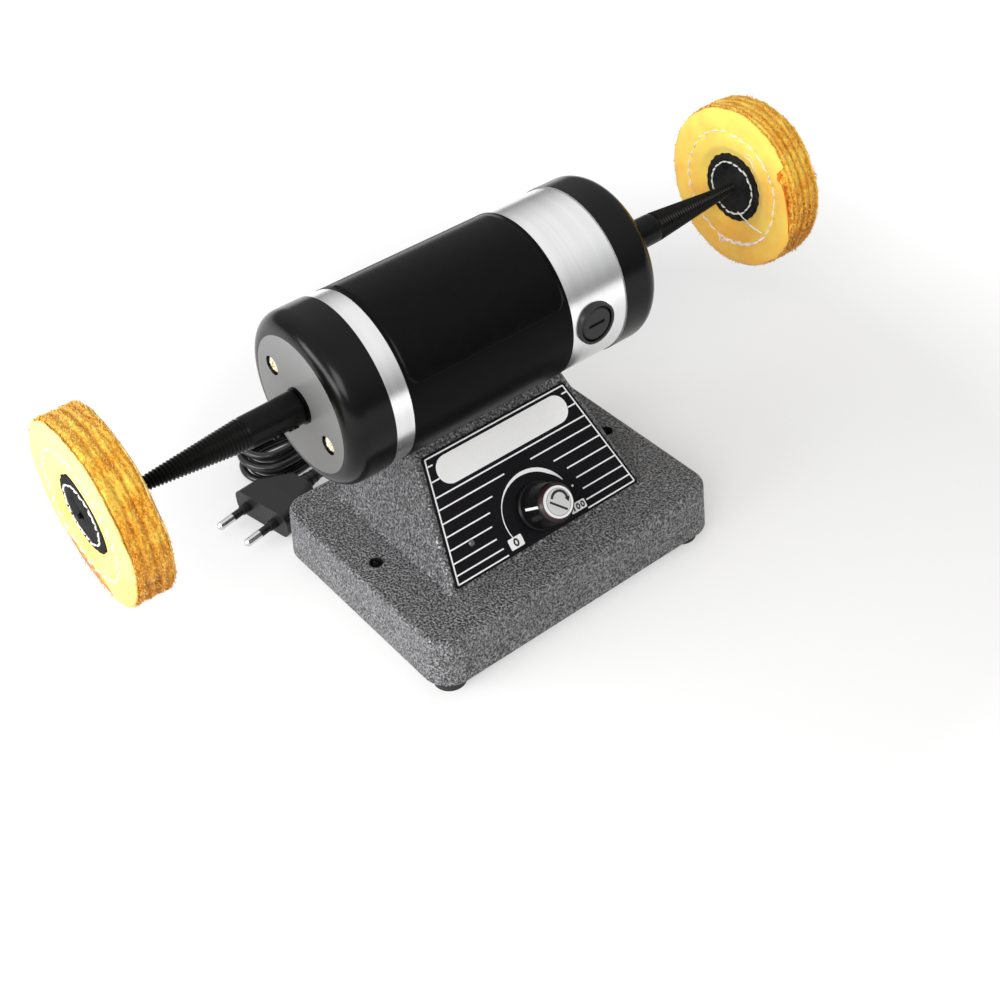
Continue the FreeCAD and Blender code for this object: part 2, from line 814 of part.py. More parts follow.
def make_control_panel():
    """A thin plate on the slope, narrower at the top like the face that carries it."""
    body = new_body("control_panel")
    margin = size("panel_margin")
    lean = (size("panel_bottom_width") - size("panel_top_width")) / 2 / size("panel_length")
    bottom = size("panel_bottom_width") / 2 + margin + lean * margin
    top = size("panel_top_width") / 2 + margin - lean * margin
    outline = new_sketch(body, "XY_Plane", "panel_outline")
    polygon(outline, [(-bottom, -margin), (bottom, -margin), (top, size("panel_length") + margin),
                      (-top, size("panel_length") + margin)])
    pad(body, outline, size("panel_thickness"), flip=True)
    soften(body, lambda edge, middle: close(edge.BoundBox.ZLength, size("panel_thickness").value),
           size("panel_corner"))
    holes = new_sketch(body, "XY_Plane", "panel_holes")
    circle(holes, 0, size("knob_rise"), size("control_bush") + size("hole_fit"))
    circle(holes, -size("lamp_offset"), size("lamp_rise"), size("lamp_diameter") + size("hole_fit"))
    pocket(body, holes, size("panel_thickness") + overrun)
    return keep(on_panel(body, ZERO, ZERO))


def make_speed_control():
    """The potentiometer behind the slope, its nut on the panel, and the shaft that turns in it."""
    back = size("panel_thickness") + size("casting_wall")
    bush = size("control_bush") / 2
    bore = size("control_shaft") / 2 + size("running_fit")
    shaft_foot = back + size("control_body_depth") * CLIP_SHARE
    can = size("control_body") / 2
    body = turned("speed_potentiometer", [
        (0, -back - size("control_body_depth")), (can, -back - size("control_body_depth")),
        (can, -back), (bush, -back), (bush, size("control_bush_height")),
        (bore, size("control_bush_height")), (bore, -shaft_foot - size("running_fit")),
        (0, -shaft_foot - size("running_fit"))], "V_Axis", "XZ_Plane")
    keep(on_panel(body, ZERO, size("knob_rise")))

    nut = new_body("potentiometer_nut")
    across = size("control_nut") / 2
    corner = across / math.cos(math.pi / 6)
    outline = new_sketch(nut, "XY_Plane", "nut_outline")
    polygon(outline, [(corner, 0), (corner / 2, across), (-corner / 2, across), (-corner, 0),
                      (-corner / 2, -across), (corner / 2, -across)])
    circle(outline, 0, 0, size("control_bush"))
    pad(nut, outline, size("control_nut_height"))
    keep(on_panel(nut, ZERO, size("knob_rise")))

    radius = size("control_shaft") / 2
    tip = size("control_shaft_length")
    shaft = turned("potentiometer_shaft", [
        (0, -shaft_foot), (radius, -shaft_foot), (radius, tip), (0, tip)], "V_Axis", "XZ_Plane")
    keep(on_panel(shaft, ZERO, size("knob_rise")))


def make_knob():
    """A skirted pointer knob, hollow over the nut, with a bright disc let into its top."""
    gap = size("knob_gap")
    flange = size("knob_flange") / 2
    flange_top = gap + size("knob_flange_height")
    disc_seat = size("knob_height") + size("knob_disc_stand") - size("knob_disc_thickness")
    seat = size("knob_disc") / 2 + size("shaft_flat_fit")
    bore = size("control_shaft") / 2 + size("shaft_flat_fit")
    bore_top = size("control_shaft_length") + size("running_fit")
    hollow_top = gap + size("knob_hollow_depth")
    hollow = size("knob_hollow") / 2
    knob = turned("knob_body", [
        (0, disc_seat), (0, bore_top), (bore, bore_top), (bore, hollow_top), (hollow, hollow_top),
        (hollow, gap), (flange, gap), (flange, flange_top), (size("knob_root") / 2, flange_top),
        (size("knob_shoulder") / 2, size("knob_shoulder_height")),
        (size("knob_rim") / 2, size("knob_height")),
        (seat, size("knob_height")), (seat, disc_seat)], "V_Axis", "XZ_Plane")
    keep(on_panel(knob, ZERO, size("knob_rise")))
    radius = size("knob_disc") / 2
    top = disc_seat + size("knob_disc_thickness")
    disc = turned("knob_disc", [
        (0, disc_seat), (radius, disc_seat), (radius, top), (0, top)], "V_Axis", "XZ_Plane")
    keep(on_panel(disc, ZERO, size("knob_rise")))


def make_power_lamp():
    radius = size("lamp_diameter") / 2
    back = size("panel_thickness") + size("casting_wall")
    flange = size("lamp_flange") / 2
    stand = size("lamp_stand")
    foot = -back - size("lamp_flange_height")
    lamp = turned("power_lamp", [
        (0, foot), (flange, foot), (flange, -back), (radius, -back), (radius, stand), (0, stand)],
        "V_Axis", "XZ_Plane")
    soften(lamp, lambda edge, middle: close(middle.z, stand.value) and edge.BoundBox.XLength > 0,
           stand * LAMP_DOME_SHARE)
    return keep(on_panel(lamp, -size("lamp_offset"), size("lamp_rise")))


# Motor frame: turned about the shaft's axis, which is each body's own X

def make_motor_tube():
    half = size("tube_length") / 2
    radius = size("tube_diameter") / 2
    tube = turned("motor_tube", [(-half, tube_bore), (half, tube_bore), (half, radius), (-half, radius)])
    brush_holes = new_sketch(tube, "XZ_Plane", "brush_holes")
    circle(brush_holes, brush_place, 0, size("holder_flange") + size("holder_hole_fit") * 2)
    pocket(tube, brush_holes, size("tube_diameter") + overrun, both_ways=True)
    bolt_holes = new_sketch(tube, "XY_Plane", "tapped_holes")
    for side in (-1, 1):
        circle(bolt_holes, size("motor_bolt_spacing") / 2 * side, 0,
               size("motor_bolt") + size("press_fit") * 2)
    pocket(tube, bolt_holes, radius + overrun)
    return keep(on_motor_axis(tube))


def make_motor_sleeve():
    """The thin dark sleeve round the tube, leaving a narrow bright band on the left, a wide one right."""
    left = size("sleeve_left_margin") - cap_start
    right = cap_start - size("sleeve_right_margin")
    sleeve = turned("motor_sleeve", [(left, sleeve_bore), (right, sleeve_bore), (right, motor_skin),
                                     (left, motor_skin)])
    bolt_holes = new_sketch(sleeve, "XY_Plane", "sleeve_holes")
    for side in (-1, 1):
        circle(bolt_holes, size("motor_bolt_spacing") / 2 * side, 0,
               size("motor_bolt") + size("hole_fit") * 2)
    pocket(sleeve, bolt_holes, motor_skin + overrun)
    return keep(on_motor_axis(sleeve))


def cap_screw_places():
    angle = size("cap_screw_angle")
    across = size("cap_screw_circle") / 2 * cosine(angle)
    rise = size("cap_screw_circle") / 2 * sine(angle)
    return [(across, rise), (-across, -rise)]


def make_end_covers():
    """Moulded end covers with a generous rounded rim, two sunk screws and a bore for the shaft."""
    radius = cap_radius
    wall = size("cap_wall")
    bore = size("cap_bore") / 2
    cover = turned("right_end_cover", [
        (cap_start, radius - wall), (cap_start, radius), (cap_face, radius), (cap_face, bore),
        (cap_face - wall, bore), (cap_face - wall, radius - wall)])
    outer = radius.value
    face = cap_face.value
    soften(cover, lambda edge, middle: close(middle.x, face) and close(abs_radius(middle), outer),
           size("cap_round"))
    inner = (cap_face - wall).value
    skin = outer - wall.value
    soften(cover, lambda edge, middle: close(middle.x, inner) and close(abs_radius(middle), skin),
           size("cap_round") - wall)
    shanks = new_sketch(cover, "YZ_Plane", "cover_shank_holes", z=cap_face - wall - overrun)
    recesses = new_sketch(cover, "YZ_Plane", "cover_screw_recesses",
                          z=cap_face - size("cap_screw_sink") - size("cap_screw_head_height"))
    for across, rise in cap_screw_places():
        circle(shanks, across, rise, size("cap_screw_shank") + size("screw_clearance"))
        circle(recesses, across, rise, size("cap_screw_recess"))
    pocket(cover, shanks, wall + overrun * 2, flip=True)
    pocket(cover, recesses, wall + overrun, flip=True)
    keep(on_motor_axis(cover))
    keep(mirrored(cover, "left_end_cover"))


def abs_radius(point):
    return math.hypot(point.y, point.z)


def make_cover_screws():
    """Four cross-head screws, two at each end, sunk in the covers and driven into the bells' posts."""
    top = cap_face - size("cap_screw_sink")
    under = top - size("cap_screw_head_height")
    head = size("cap_screw_head") / 2
    shank = size("cap_screw_shank") / 2
    tip = under - size("cap_screw_length")
    screws = []
    for index, (across, rise) in enumerate(cap_screw_places()):
        screw = turned("cover_screw_" + str(index), [(tip, 0), (tip, shank), (under, shank), (under, head),
                                                     (top - head * HEAD_EDGE_SHARE, head),
                                                     (top, head * HEAD_CROWN_SHARE), (top, 0)])
        place(screw, ZERO, axis_back + across, axis_height + rise)
        screws.append(screw)
    screws += [mirrored(screw, screw.Label + "_left") for screw in screws]
    return keep(group("cover_screws", screws))


def make_end_bells():
    """Metal end bells inside the covers: a spigot in the tube, a hub for the bearing, two screw posts."""
    bearing = size("bearing_outside") / 2 + size("press_fit")
    seat = bearing_seat
    hub_end = seat + size("bearing_width")
    hub = size("bell_hub") / 2
    bore = size("bell_bore") / 2
    plate = cap_start + size("bell_plate")
    spigot = tube_bore - size("running_fit")
    flange = cap_radius - size("cap_wall") - size("cover_fit")
    spigot_end = cap_start - size("bell_spigot")
    bell = turned("right_end_bell", [
        (spigot_end, bore), (spigot_end, spigot), (cap_start, spigot), (cap_start, flange),
        (plate, flange), (plate, hub), (hub_end, hub), (hub_end, bearing), (seat, bearing), (seat, bore)])
    posts = new_sketch(bell, "YZ_Plane", "bell_posts", z=plate - size("bell_plate") / 2)
    holes = new_sketch(bell, "YZ_Plane", "bell_pilots", z=cap_face)
    for across, rise in cap_screw_places():
        circle(posts, across, rise, size("bell_post"))
        circle(holes, across, rise, size("cap_screw_shank") + size("press_fit") * 2)
    pad(bell, posts, cap_face - size("cap_wall") - plate + size("bell_plate") / 2)
    pocket(bell, holes, size("cap_wall") + size("cap_screw_length") + size("bell_plate"))
    keep(on_motor_axis(bell))
    keep(mirrored(bell, "left_end_bell"))


def make_shaft_washers():
    bore = size("shaft_end") / 2 + size("hole_fit")
    radius = size("washer_diameter") / 2
    washer = turned("right_shaft_washer", [(cap_face, bore), (cap_face, radius),
                                           (cap_face + size("washer_thickness"), radius),
                                           (cap_face + size("washer_thickness"), bore)])
    keep(on_motor_axis(washer))
    keep(mirrored(washer, "left_shaft_washer"))


def make_motor_bolts():
    """Two bolts from inside the pedestal, up through the saddle into the tube."""
    wall = size("casting_wall")
    head_top = axis_height - saddle_radius - wall
    head = size("motor_bolt_head") / 2
    shank = size("motor_bolt") / 2
    tip = axis_height - tube_bore - size("bolt_tip_gap")
    bolt = turned("motor_bolt_right", [
        (0, head_top - size("motor_bolt_head_height")), (head, head_top - size("motor_bolt_head_height")),
        (head, head_top), (shank, head_top), (shank, tip), (0, tip)], "V_Axis", "XZ_Plane")
    place(bolt, size("motor_bolt_spacing") / 2, axis_back)
    return keep(group("motor_bolts", [bolt, mirrored(bolt, "motor_bolt_left")]))


def make_magnets():
    """Two curved field magnets glued inside the tube, above and below the armature."""
    outer = tube_bore - size("magnet_glue")
    inner = magnet_bore
    left = -core_left - size("magnet_overlap")
    right = core_right + size("magnet_overlap")
    magnets = []
    for name, start in (("upper", 90), ("lower", 270)):
        body = new_body(name + "_magnet")
        profile = new_sketch(body, "XY_Plane", name + "_magnet_profile")
        polygon(profile, [(left, inner), (right, inner), (right, outer), (left, outer)])
        sweep = revolve(body, profile)
        sweep.Midplane = True
        sweep.setExpression("Angle", size("magnet_arc").text)
        place(body, ZERO, axis_back, axis_height, Vector(1, 0, 0), as_size(start))
        magnets.append(body)
    return keep(group("field_magnets", magnets))


# Bearings, shaft and armature

def make_bearings():
    """Ball bearings as their outer rings, inner rings and loose balls, one of each kind at each end."""
    outside = size("bearing_outside") / 2
    inside = size("shaft_end") / 2 + size("press_fit")
    ring = size("bearing_ring")
    seat = bearing_seat
    end = seat + size("bearing_width")
    outer = turned("right_outer_ring", [(seat, outside - ring), (end, outside - ring), (end, outside),
                                        (seat, outside)])
    inner = turned("right_inner_ring", [(seat, inside), (end, inside), (end, inside + ring),
                                        (seat, inside + ring)])
    for name, ring_body in (("outer", outer), ("inner", inner)):
        on_motor_axis(ring_body)
        twin = mirrored(ring_body, "left_" + name + "_ring")
        keep(group("bearing_" + name + "_rings", [ring_body, twin]))
    track = (outside + inside) / 2
    ball = (outside - inside) / 2 - ring - size("ball_clearance")
    balls = []
    count = VALUES["bearing_ball_count"]
    for index in range(count):
        angle = 2 * math.pi * index / count
        sphere = doc.addObject("Part::Sphere", "bearing_ball_" + str(index))
        sphere.setExpression("Radius", ball.text)
        place(sphere, seat + size("bearing_width") / 2, axis_back + track * math.cos(angle),
              axis_height + track * math.sin(angle))
        balls.append(sphere)
    balls += [mirrored(sphere, sphere.Name + "_left") for sphere in balls]
    keep(group("bearing_balls", balls))


def make_motor_shaft():
    end = size("shaft_end") / 2
    middle = size("shaft_middle") / 2
    seat = bearing_seat
    chamfer = end * SHAFT_CHAMFER_SHARE
    shaft = turned("motor_shaft", [
        (-shaft_reach, 0), (-shaft_reach, end - chamfer), (chamfer - shaft_reach, end), (-seat, end),
        (-seat, middle), (seat, middle), (seat, end), (shaft_reach - chamfer, end),
        (shaft_reach, end - chamfer), (shaft_reach, 0)])
    return keep(on_motor_axis(shaft))


def make_armature_core():
    """The laminated core, with half-closed slots milled round it by a pattern."""
    core = new_body("armature_core")
    outline = new_sketch(core, "YZ_Plane", "core_outline", z=-core_left)
    circle(outline, 0, 0, core_radius * 2)
    circle(outline, 0, 0, size("shaft_middle") + size("press_fit") * 2)
    pad(core, outline, core_left + core_right)
    slot = new_sketch(core, "YZ_Plane", "core_slot", z=-core_left)
    half = slot_width / 2
    mouth = size("slot_mouth") / 2
    polygon(slot, [
        (-half, slot_floor), (half, slot_floor), (half, slot_roof),
        (mouth, slot_roof), (mouth, core_radius + overrun),
        (-mouth, core_radius + overrun), (-mouth, slot_roof),
        (-half, slot_roof)])
    cut = pocket(core, slot, core_left + core_right, flip=True)
    polar(core, cut, size("slot_count"))
    return keep(on_motor_axis(core))


def make_armature_winding():
    """The winding: bars that fill the slots and a rounded bundle of end turns at each end."""
    winding = new_body("armature_winding")
    lining = size("slot_lining")
    gap = size("end_turn_gap")
    length = size("end_turn_length")
    bore = size("shaft_middle") / 2 + size("hole_fit")
    rim = slot_roof
    shrink = length / 3
    profile = new_sketch(winding, "XY_Plane", "end_turn_profile")
    for edge, side in ((core_right + gap, 1), (-core_left - gap, -1)):
        polygon(profile, [(edge, bore), (edge, rim), (edge + (length - shrink) * side, rim),
                          (edge + length * side, rim - shrink), (edge + length * side, bore)])
    revolve(winding, profile)
    bar = new_sketch(winding, "YZ_Plane", "slot_bar", z=-core_left - gap * 2)
    half = slot_width / 2 - lining
    low = slot_floor + lining
    high = slot_roof - lining
    polygon(bar, [(-half, low), (half, low), (half, high), (-half, high)])
    run = pad(winding, bar, core_left + core_right + gap * 4)
    polar(winding, run, size("slot_count"))
    return keep(on_motor_axis(winding))


def make_commutator():
    bore = size("shaft_middle") / 2 + size("press_fit")
    radius = size("commutator_diameter") / 2
    riser = size("riser_diameter") / 2
    left = commutator_left
    right = commutator_right
    foot = left - size("riser_width")
    commutator = turned("commutator", [
        (foot, bore), (foot, riser), (left, riser), (left, radius), (right, radius), (right, bore)])
    return keep(on_motor_axis(commutator))


# Brush gear: each side is built along its own Z and turned to face front or rear

def make_brush_gear():
    flange = size("holder_flange") / 2
    face = size("tube_diameter") / 2 + size("holder_stand")
    shoulder = face - size("holder_flange_depth")
    stem = size("holder_stem") / 2
    tip = size("commutator_diameter") / 2 + size("holder_gap")
    seat = size("cap_seat") / 2
    seat_floor = face - size("cap_seat_depth")
    thread = size("brush_cap_thread") / 2
    bore = thread + size("press_fit")
    cap_rim = size("brush_cap_diameter") / 2
    cap_top = seat_floor + size("brush_cap_thickness")
    cap_tip = seat_floor - size("brush_cap_reach")
    channel_top = cap_tip - size("channel_cover")
    brush_start = size("commutator_diameter") / 2 + size("brush_air")
    brush_end = cap_tip - size("brush_spring_length")
    spring = size("brush_spring") / 2
    wire = size("brush_spring_wire")
    for name, turn in (("front", 90), ("rear", -90)):
        holder = turned(name + "_brush_holder", [
            (0, tip), (stem, tip), (stem, shoulder), (flange, shoulder), (flange, face), (seat, face),
            (seat, seat_floor), (bore, seat_floor), (bore, channel_top), (0, channel_top)],
            "V_Axis", "XZ_Plane")
        channel = new_sketch(holder, "XY_Plane", name + "_channel", z=tip)
        slack = size("brush_fit") * 2
        rectangle(channel, size("brush_width") + slack, size("brush_height") + slack)
        pocket(holder, channel, channel_top - tip, flip=True)

        cap = turned(name + "_brush_cap", [
            (0, cap_tip), (thread, cap_tip), (thread, seat_floor), (cap_rim, seat_floor),
            (cap_rim, cap_top - wire), (cap_rim - wire, cap_top), (0, cap_top)], "V_Axis", "XZ_Plane")
        slot = new_sketch(cap, "XY_Plane", name + "_cap_slot", z=cap_top)
        rectangle(slot, size("brush_cap_slot_length"), size("brush_cap_slot"))
        pocket(cap, slot, size("brush_cap_slot_depth"))

        brush = new_body(name + "_carbon_brush")
        section = new_sketch(brush, "XY_Plane", name + "_brush_section", z=brush_start)
        rectangle(section, size("brush_width"), size("brush_height"))
        pad(brush, section, brush_end - brush_start)

        coil = turned(name + "_brush_spring", [
            (spring - wire, brush_end), (spring, brush_end), (spring, cap_tip), (spring - wire, cap_tip)],
            "V_Axis", "XZ_Plane")
        for body in (holder, cap, brush, coil):
            place(body, brush_place, axis_back, axis_height, Vector(1, 0, 0), as_size(turn))
            keep(body)


def rectangle(sketch, width, height):
    half_x = width / 2
    half_y = height / 2
    polygon(sketch, [(-half_x, -half_y), (half_x, -half_y), (half_x, half_y), (-half_x, half_y)])


# Screw spindles, set screws and buffs

def make_spindles():
    """Tapered screw spindles: a bored collar on the shaft, a relief, the cone and a blunt pilot tip."""
    for name, side in (("left", -1), ("right", 1)):
        collar_end = spindle_start + size(name + "_collar_length")
        bore = size("shaft_end") / 2 + size("press_fit")
        bore_end = shaft_reach + size("spindle_gap")
        root = size("collar_root") / 2
        end = size("collar_end") / 2
        relief = end - size("relief_depth")
        pilot = size("pilot_diameter") / 2
        tip = spindle_tip
        crown = size("tip_round")
        reach = cone_end
        profile = [
            (spindle_start, bore), (spindle_start, root), (collar_end, end), (collar_end, relief),
            (collar_end + size("relief_width"), relief), (collar_end + size("relief_width"), end),
            (reach, pilot), (tip - crown, pilot), (tip, pilot - crown), (tip, 0), (bore_end, 0),
            (bore_end, bore)]
        spindle = turned(name + "_spindle", [(x * side, radius) for x, radius in profile])
        holes = new_sketch(spindle, "XY_Plane", name + "_set_screw_holes", tilt=size("set_screw_angle"))
        for step in (0, 1):
            along = spindle_start + size("set_screw_first") + size("set_screw_pitch") * step
            circle(holes, along * side, 0, size("set_screw") + size("press_fit") * 2)
        pocket(spindle, holes, root + overrun, flip=True)
        keep(on_motor_axis(spindle))


def make_set_screws():
    """Grub screws that clamp each collar to the shaft, two at each end, low on the front."""
    screws = []
    radius = size("set_screw") / 2
    inner = size("shaft_end") / 2 + size("press_fit")
    outer = inner + size("set_screw_length")
    for step in (0, 1):
        screw = turned("set_screw_" + str(step), [(0, inner), (radius, inner), (radius, outer), (0, outer)],
                       "V_Axis", "XZ_Plane")
        place(screw, spindle_start + size("set_screw_first") + size("set_screw_pitch") * step,
              axis_back, axis_height, Vector(1, 0, 0), size("set_screw_angle"))
        screws.append(screw)
    screws += [mirrored(screw, screw.Label + "_left") for screw in screws]
    return keep(group("spindle_set_screws", screws))


def make_buffs():
    """Stitched cloth buffs, pinched at the sewn middle, and the two dark centre discs on each."""
    inner = cone_end - size("buff_seat")
    outer = inner + size("buff_thickness")
    middle = (inner + outer) / 2
    waist_inner = middle - size("buff_waist") / 2
    waist_outer = middle + size("buff_waist") / 2
    disc = size("centre_disc") / 2
    shoulder = size("buff_shoulder") / 2
    rim = size("buff_diameter") / 2
    edge = size("buff_edge")
    bore = size("buff_bore") / 2
    bore_end = size("buff_bore_end") / 2
    buff = turned("right_buff", [
        (waist_inner, bore), (waist_inner, disc), (inner, shoulder), (inner, rim - edge),
        (inner + edge, rim), (outer - edge, rim), (outer, rim - edge), (outer, shoulder),
        (waist_outer, disc), (waist_outer, bore_end), (cone_end, bore_end)])
    keep(on_motor_axis(buff))
    keep(mirrored(buff, "left_buff"))
    thickness = size("centre_disc_thickness")
    near = turned("right_near_disc", [(waist_inner - thickness, bore), (waist_inner, bore),
                                      (waist_inner, disc), (waist_inner - thickness, disc)])
    far = turned("right_far_disc", [(waist_outer, bore_end), (waist_outer + thickness, bore_end),
                                    (waist_outer + thickness, disc), (waist_outer, disc)])
    discs = [on_motor_axis(near), on_motor_axis(far)]
    keep(group("right_buff_discs", discs))
    keep(group("left_buff_discs", [mirrored(member, member.Label + "_left") for member in discs]))


# Speed control board, standing on the bottom cover inside the pedestal

def make_control_board():
    floor = size("foot_height") + size("cover_thickness")
    board_floor = floor + size("standoff_height")
    board_top = board_floor + size("board_thickness")
    back = pedestal_back_edge - size("board_margin")
    board = block("circuit_board", size("board_length"), size("board_width"), size("board_thickness"),
                  ZERO, back, board_floor)
    keep(board)
    standoffs = []
    for side in (-1, 1):
        for end in (-1, 1):
            post = doc.addObject("Part::Cylinder", "board_standoff")
            post.setExpression("Radius", (size("standoff_diameter") / 2).text)
            post.setExpression("Height", size("standoff_height").text)
            place(post, (size("board_length") / 2 - size("standoff_inset")) * side,
                  back + (size("board_width") / 2 - size("standoff_inset")) * end, floor)
            standoffs.append(post)
    keep(group("board_standoffs", standoffs))
    keep(block("terminal_block", size("terminal_length"), size("terminal_width"), size("terminal_height"),
               size("terminal_offset"), back + size("board_width") / 2 - size("terminal_width"), board_top))
    keep(block("suppression_capacitor", size("capacitor_length"), size("capacitor_width"),
               size("capacitor_height"), size("terminal_offset"), back, board_top))
    make_heat_sink(back, board_top)


def make_heat_sink(back, board_top):
    """A finned aluminium sink: a web with equal fins, cut from one extruded comb."""
    sink = new_body("heat_sink")
    comb = new_sketch(sink, "XZ_Plane", "sink_comb")
    half = size("sink_length") / 2
    web = size("sink_web")
    height = size("sink_height")
    count = VALUES["sink_fin_count"]
    pitch = (size("sink_length") - web) / (size("sink_fin_count") - 1)
    points = [(-half, 0), (half, 0)]
    for index in reversed(range(count)):
        left = pitch * index - half
        points += [(left + web, height), (left, height)]
        if index:
            points += [(left, web), (left - pitch + web, web)]
    polygon(comb, points)
    pad(sink, comb, size("sink_width"), both_ways=True)
    place(sink, -size("sink_offset"), back, board_top)
    return keep(sink)


# Mains lead: gland, free stretches, tied hank and flat two-pin plug

def grooved_taper(start, end, root, tip, grooves, depth, width):
    """Profile points of a tapering strain relief with evenly spaced ring grooves."""
    points = [(start, root)]
    step = (end - start) / (grooves + 1)
    for index in range(1, grooves + 1):
        middle = start + step * index
        radius = root + (tip - root) * (index / (grooves + 1))
        points += [(middle - width / 2, radius), (middle - width / 2, radius - depth),
                   (middle + width / 2, radius - depth), (middle + width / 2, radius)]
    points.append((end, tip))
    return points


def make_cord_gland():
    """Strain relief snapped into the back wall: an inner flange, a neck, an outer flange and a taper."""
    wall = size("casting_wall")
    slack = size("gland_seat")
    neck = size("gland_neck") / 2
    flange = size("gland_flange") / 2
    thickness = size("gland_flange_thickness")
    end = thickness + size("gland_reach") + slack
    taper = grooved_taper(thickness + slack, end, neck, size("gland_end") / 2, VALUES["gland_groove_count"],
                          size("gland_groove_depth"), size("gland_groove_width"))
    profile = [(0, -wall - thickness - slack), (flange, -wall - thickness - slack), (flange, -wall - slack),
               (neck, -wall - slack), (neck, slack), (flange, slack), (flange, thickness + slack)]
    profile += [(radius, along) for along, radius in taper]
    profile.append((0, end))
    gland = turned("cord_gland", profile, "V_Axis", "XZ_Plane")
    drop = size("plinth_flare") * (size("gland_height") - size("foot_height")) / size("plinth_height")
    wall_face = size("plinth_depth") / 2 + size("plinth_flare") - drop
    place(gland, size("gland_across"), wall_face, size("gland_height"), Vector(1, 0, 0), as_size(-90))
    return keep(gland)


def plug_placement():
    along = PLUG_END - PLUG_FACE
    return Placement(PLUG_FACE, Rotation(Vector(1, 0, 0), along))


def plug_piece(piece):
    """Lays a piece built along its own X at the plug's place, its pins pointing to the left."""
    where = plug_placement()
    piece.Placement = where
    return keep(piece)


def make_plug():
    body = new_body("plug_body")
    corner = size("plug_corner")
    first = size("plug_body_length")
    second = first + size("plug_neck_length")
    outlines = (
        (ZERO, size("plug_width"), size("plug_depth"), corner),
        (first, size("plug_shoulder_width"), size("plug_depth"), corner),
        (second, size("plug_neck_width"), size("plug_neck_depth"), corner))
    sections = []
    for index, (along, width, depth, rounding) in enumerate(outlines):
        section = new_sketch(body, "YZ_Plane", "plug_section_" + str(index), z=along)
        rounded_rectangle(section, width / 2, depth / 2, rounding)
        sections.append(section)
    loft(body, sections)
    plug_piece(body)

    end = second + size("plug_relief_length")
    taper = grooved_taper(second, end, size("plug_relief_root") / 2, size("plug_relief_end") / 2,
                          VALUES["plug_groove_count"], size("gland_groove_depth"),
                          size("gland_groove_width"))
    relief = turned("plug_strain_relief", [(second, 0)] + taper + [(end, 0)])
    plug_piece(relief)

    radius = size("pin_diameter") / 2
    tip = -size("pin_length")
    crown = size("pin_tip_round")
    sleeve_end = -size("pin_sleeve_length")
    sleeve = size("pin_sleeve_diameter") / 2
    root = size("pin_root_diameter") / 2
    root_end = -size("pin_root_length")
    pins = []
    sleeves = []
    for name, side in (("near", -1), ("far", 1)):
        metal = turned("plug_pin_" + name, [(tip, 0), (tip, radius - crown), (tip + crown, radius),
                                            (sleeve_end, radius), (sleeve_end, 0)])
        cover = turned("pin_sleeve_" + name, [(sleeve_end, 0), (sleeve_end, sleeve), (root_end, sleeve),
                                              (root_end, root), (0, root), (0, 0)])
        for piece, shelf in ((metal, pins), (cover, sleeves)):
            where = plug_placement()
            shift = Vector(0, size("pin_pitch").value / 2 * side, 0)
            piece.Placement = where * Placement(shift, Rotation())
            shelf.append(piece)
    keep(group("plug_pins", pins))
    keep(group("plug_pin_sleeves", sleeves))


def tangent_arc_path(points):
    """Straight runs joined by tangent arcs, each arc as large as its two runs allow."""
    points = [Vector(*point) for point in points]
    edges = []
    radii = []
    here = points[0]
    for before, corner, after in zip(points, points[1:], points[2:]):
        incoming = (corner - before).normalize()
        outgoing = (after - corner).normalize()
        half_turn = incoming.getAngle(outgoing) / 2
        shorter = min((corner - before).Length, (after - corner).Length)
        reach = ARC_SHARE * shorter
        radii.append(reach / math.tan(half_turn))
        start = corner - incoming * reach
        end = corner + outgoing * reach
        inward = ((start + end) / 2 - corner).normalize()
        middle = corner + inward * (radii[-1] / math.cos(half_turn) - radii[-1])
        edges.append(Part.LineSegment(here, start).toShape())
        edges.append(Part.Arc(start, middle, end).toShape())
        here = end
    edges.append(Part.LineSegment(here, points[-1]).toShape())
    return Part.Wire(edges), radii


def tube_along(wire):
    start = wire.Edges[0].valueAt(wire.Edges[0].FirstParameter)
    heading = wire.Edges[0].tangentAt(wire.Edges[0].FirstParameter)
    ring = Part.Circle(start, heading, VALUES["cord_diameter"] / 2)
    return wire.makePipeShell([Part.Wire([ring.toShape()])], True, False)


def report_tube(label, wire, shape):
    area = math.pi * VALUES["cord_diameter"] ** 2 / 4
    print(label, "length", round(wire.Length, 1), "volume over section times length",
          round(shape.Volume / (area * wire.Length), 4))


def cord_piece(label, shape):
    piece = doc.addObject("Part::Feature", label)
    piece.Label = label
    piece.Shape = shape
    return keep(piece)


def make_free_cord(label, route):
    wire, radii = tangent_arc_path(route)
    shape = tube_along(wire)
    print(label, "radii", [round(radius, 1) for radius in radii])
    report_tube(label, wire, shape)
    return cord_piece(label, shape)


def arc_between(start, apex, end):
    """The arc from start to end whose two tangents meet at the apex."""
    middle = (start + end) / 2
    half = (end - start).Length / 2
    rise = (apex - middle).Length
    if rise < half * FLAT_SHARE:
        return Part.LineSegment(start, end).toShape()
    side = (apex - start).Length
    crown = middle + (apex - middle) * (half * (side - half) / rise ** 2)
    return Part.Arc(start, crown, end).toShape()


def biarc(start, heading, end, leaving):
    """Two arcs that carry a direction smoothly from one node of the hank to the next."""
    gap = end - start
    both = heading + leaving
    slope = heading.dot(leaving) - 1
    linear = gap.dot(both)
    square = gap.dot(gap)
    if abs(slope) < FLAT_SHARE:
        reach = square / (2 * linear)
    else:
        reach = (linear - math.sqrt(linear ** 2 - 2 * slope * square)) / (2 * slope)
    first = start + heading * reach
    second = end - leaving * reach
    joint = (first + second) / 2
    return [arc_between(start, first, joint), arc_between(joint, second, end)]


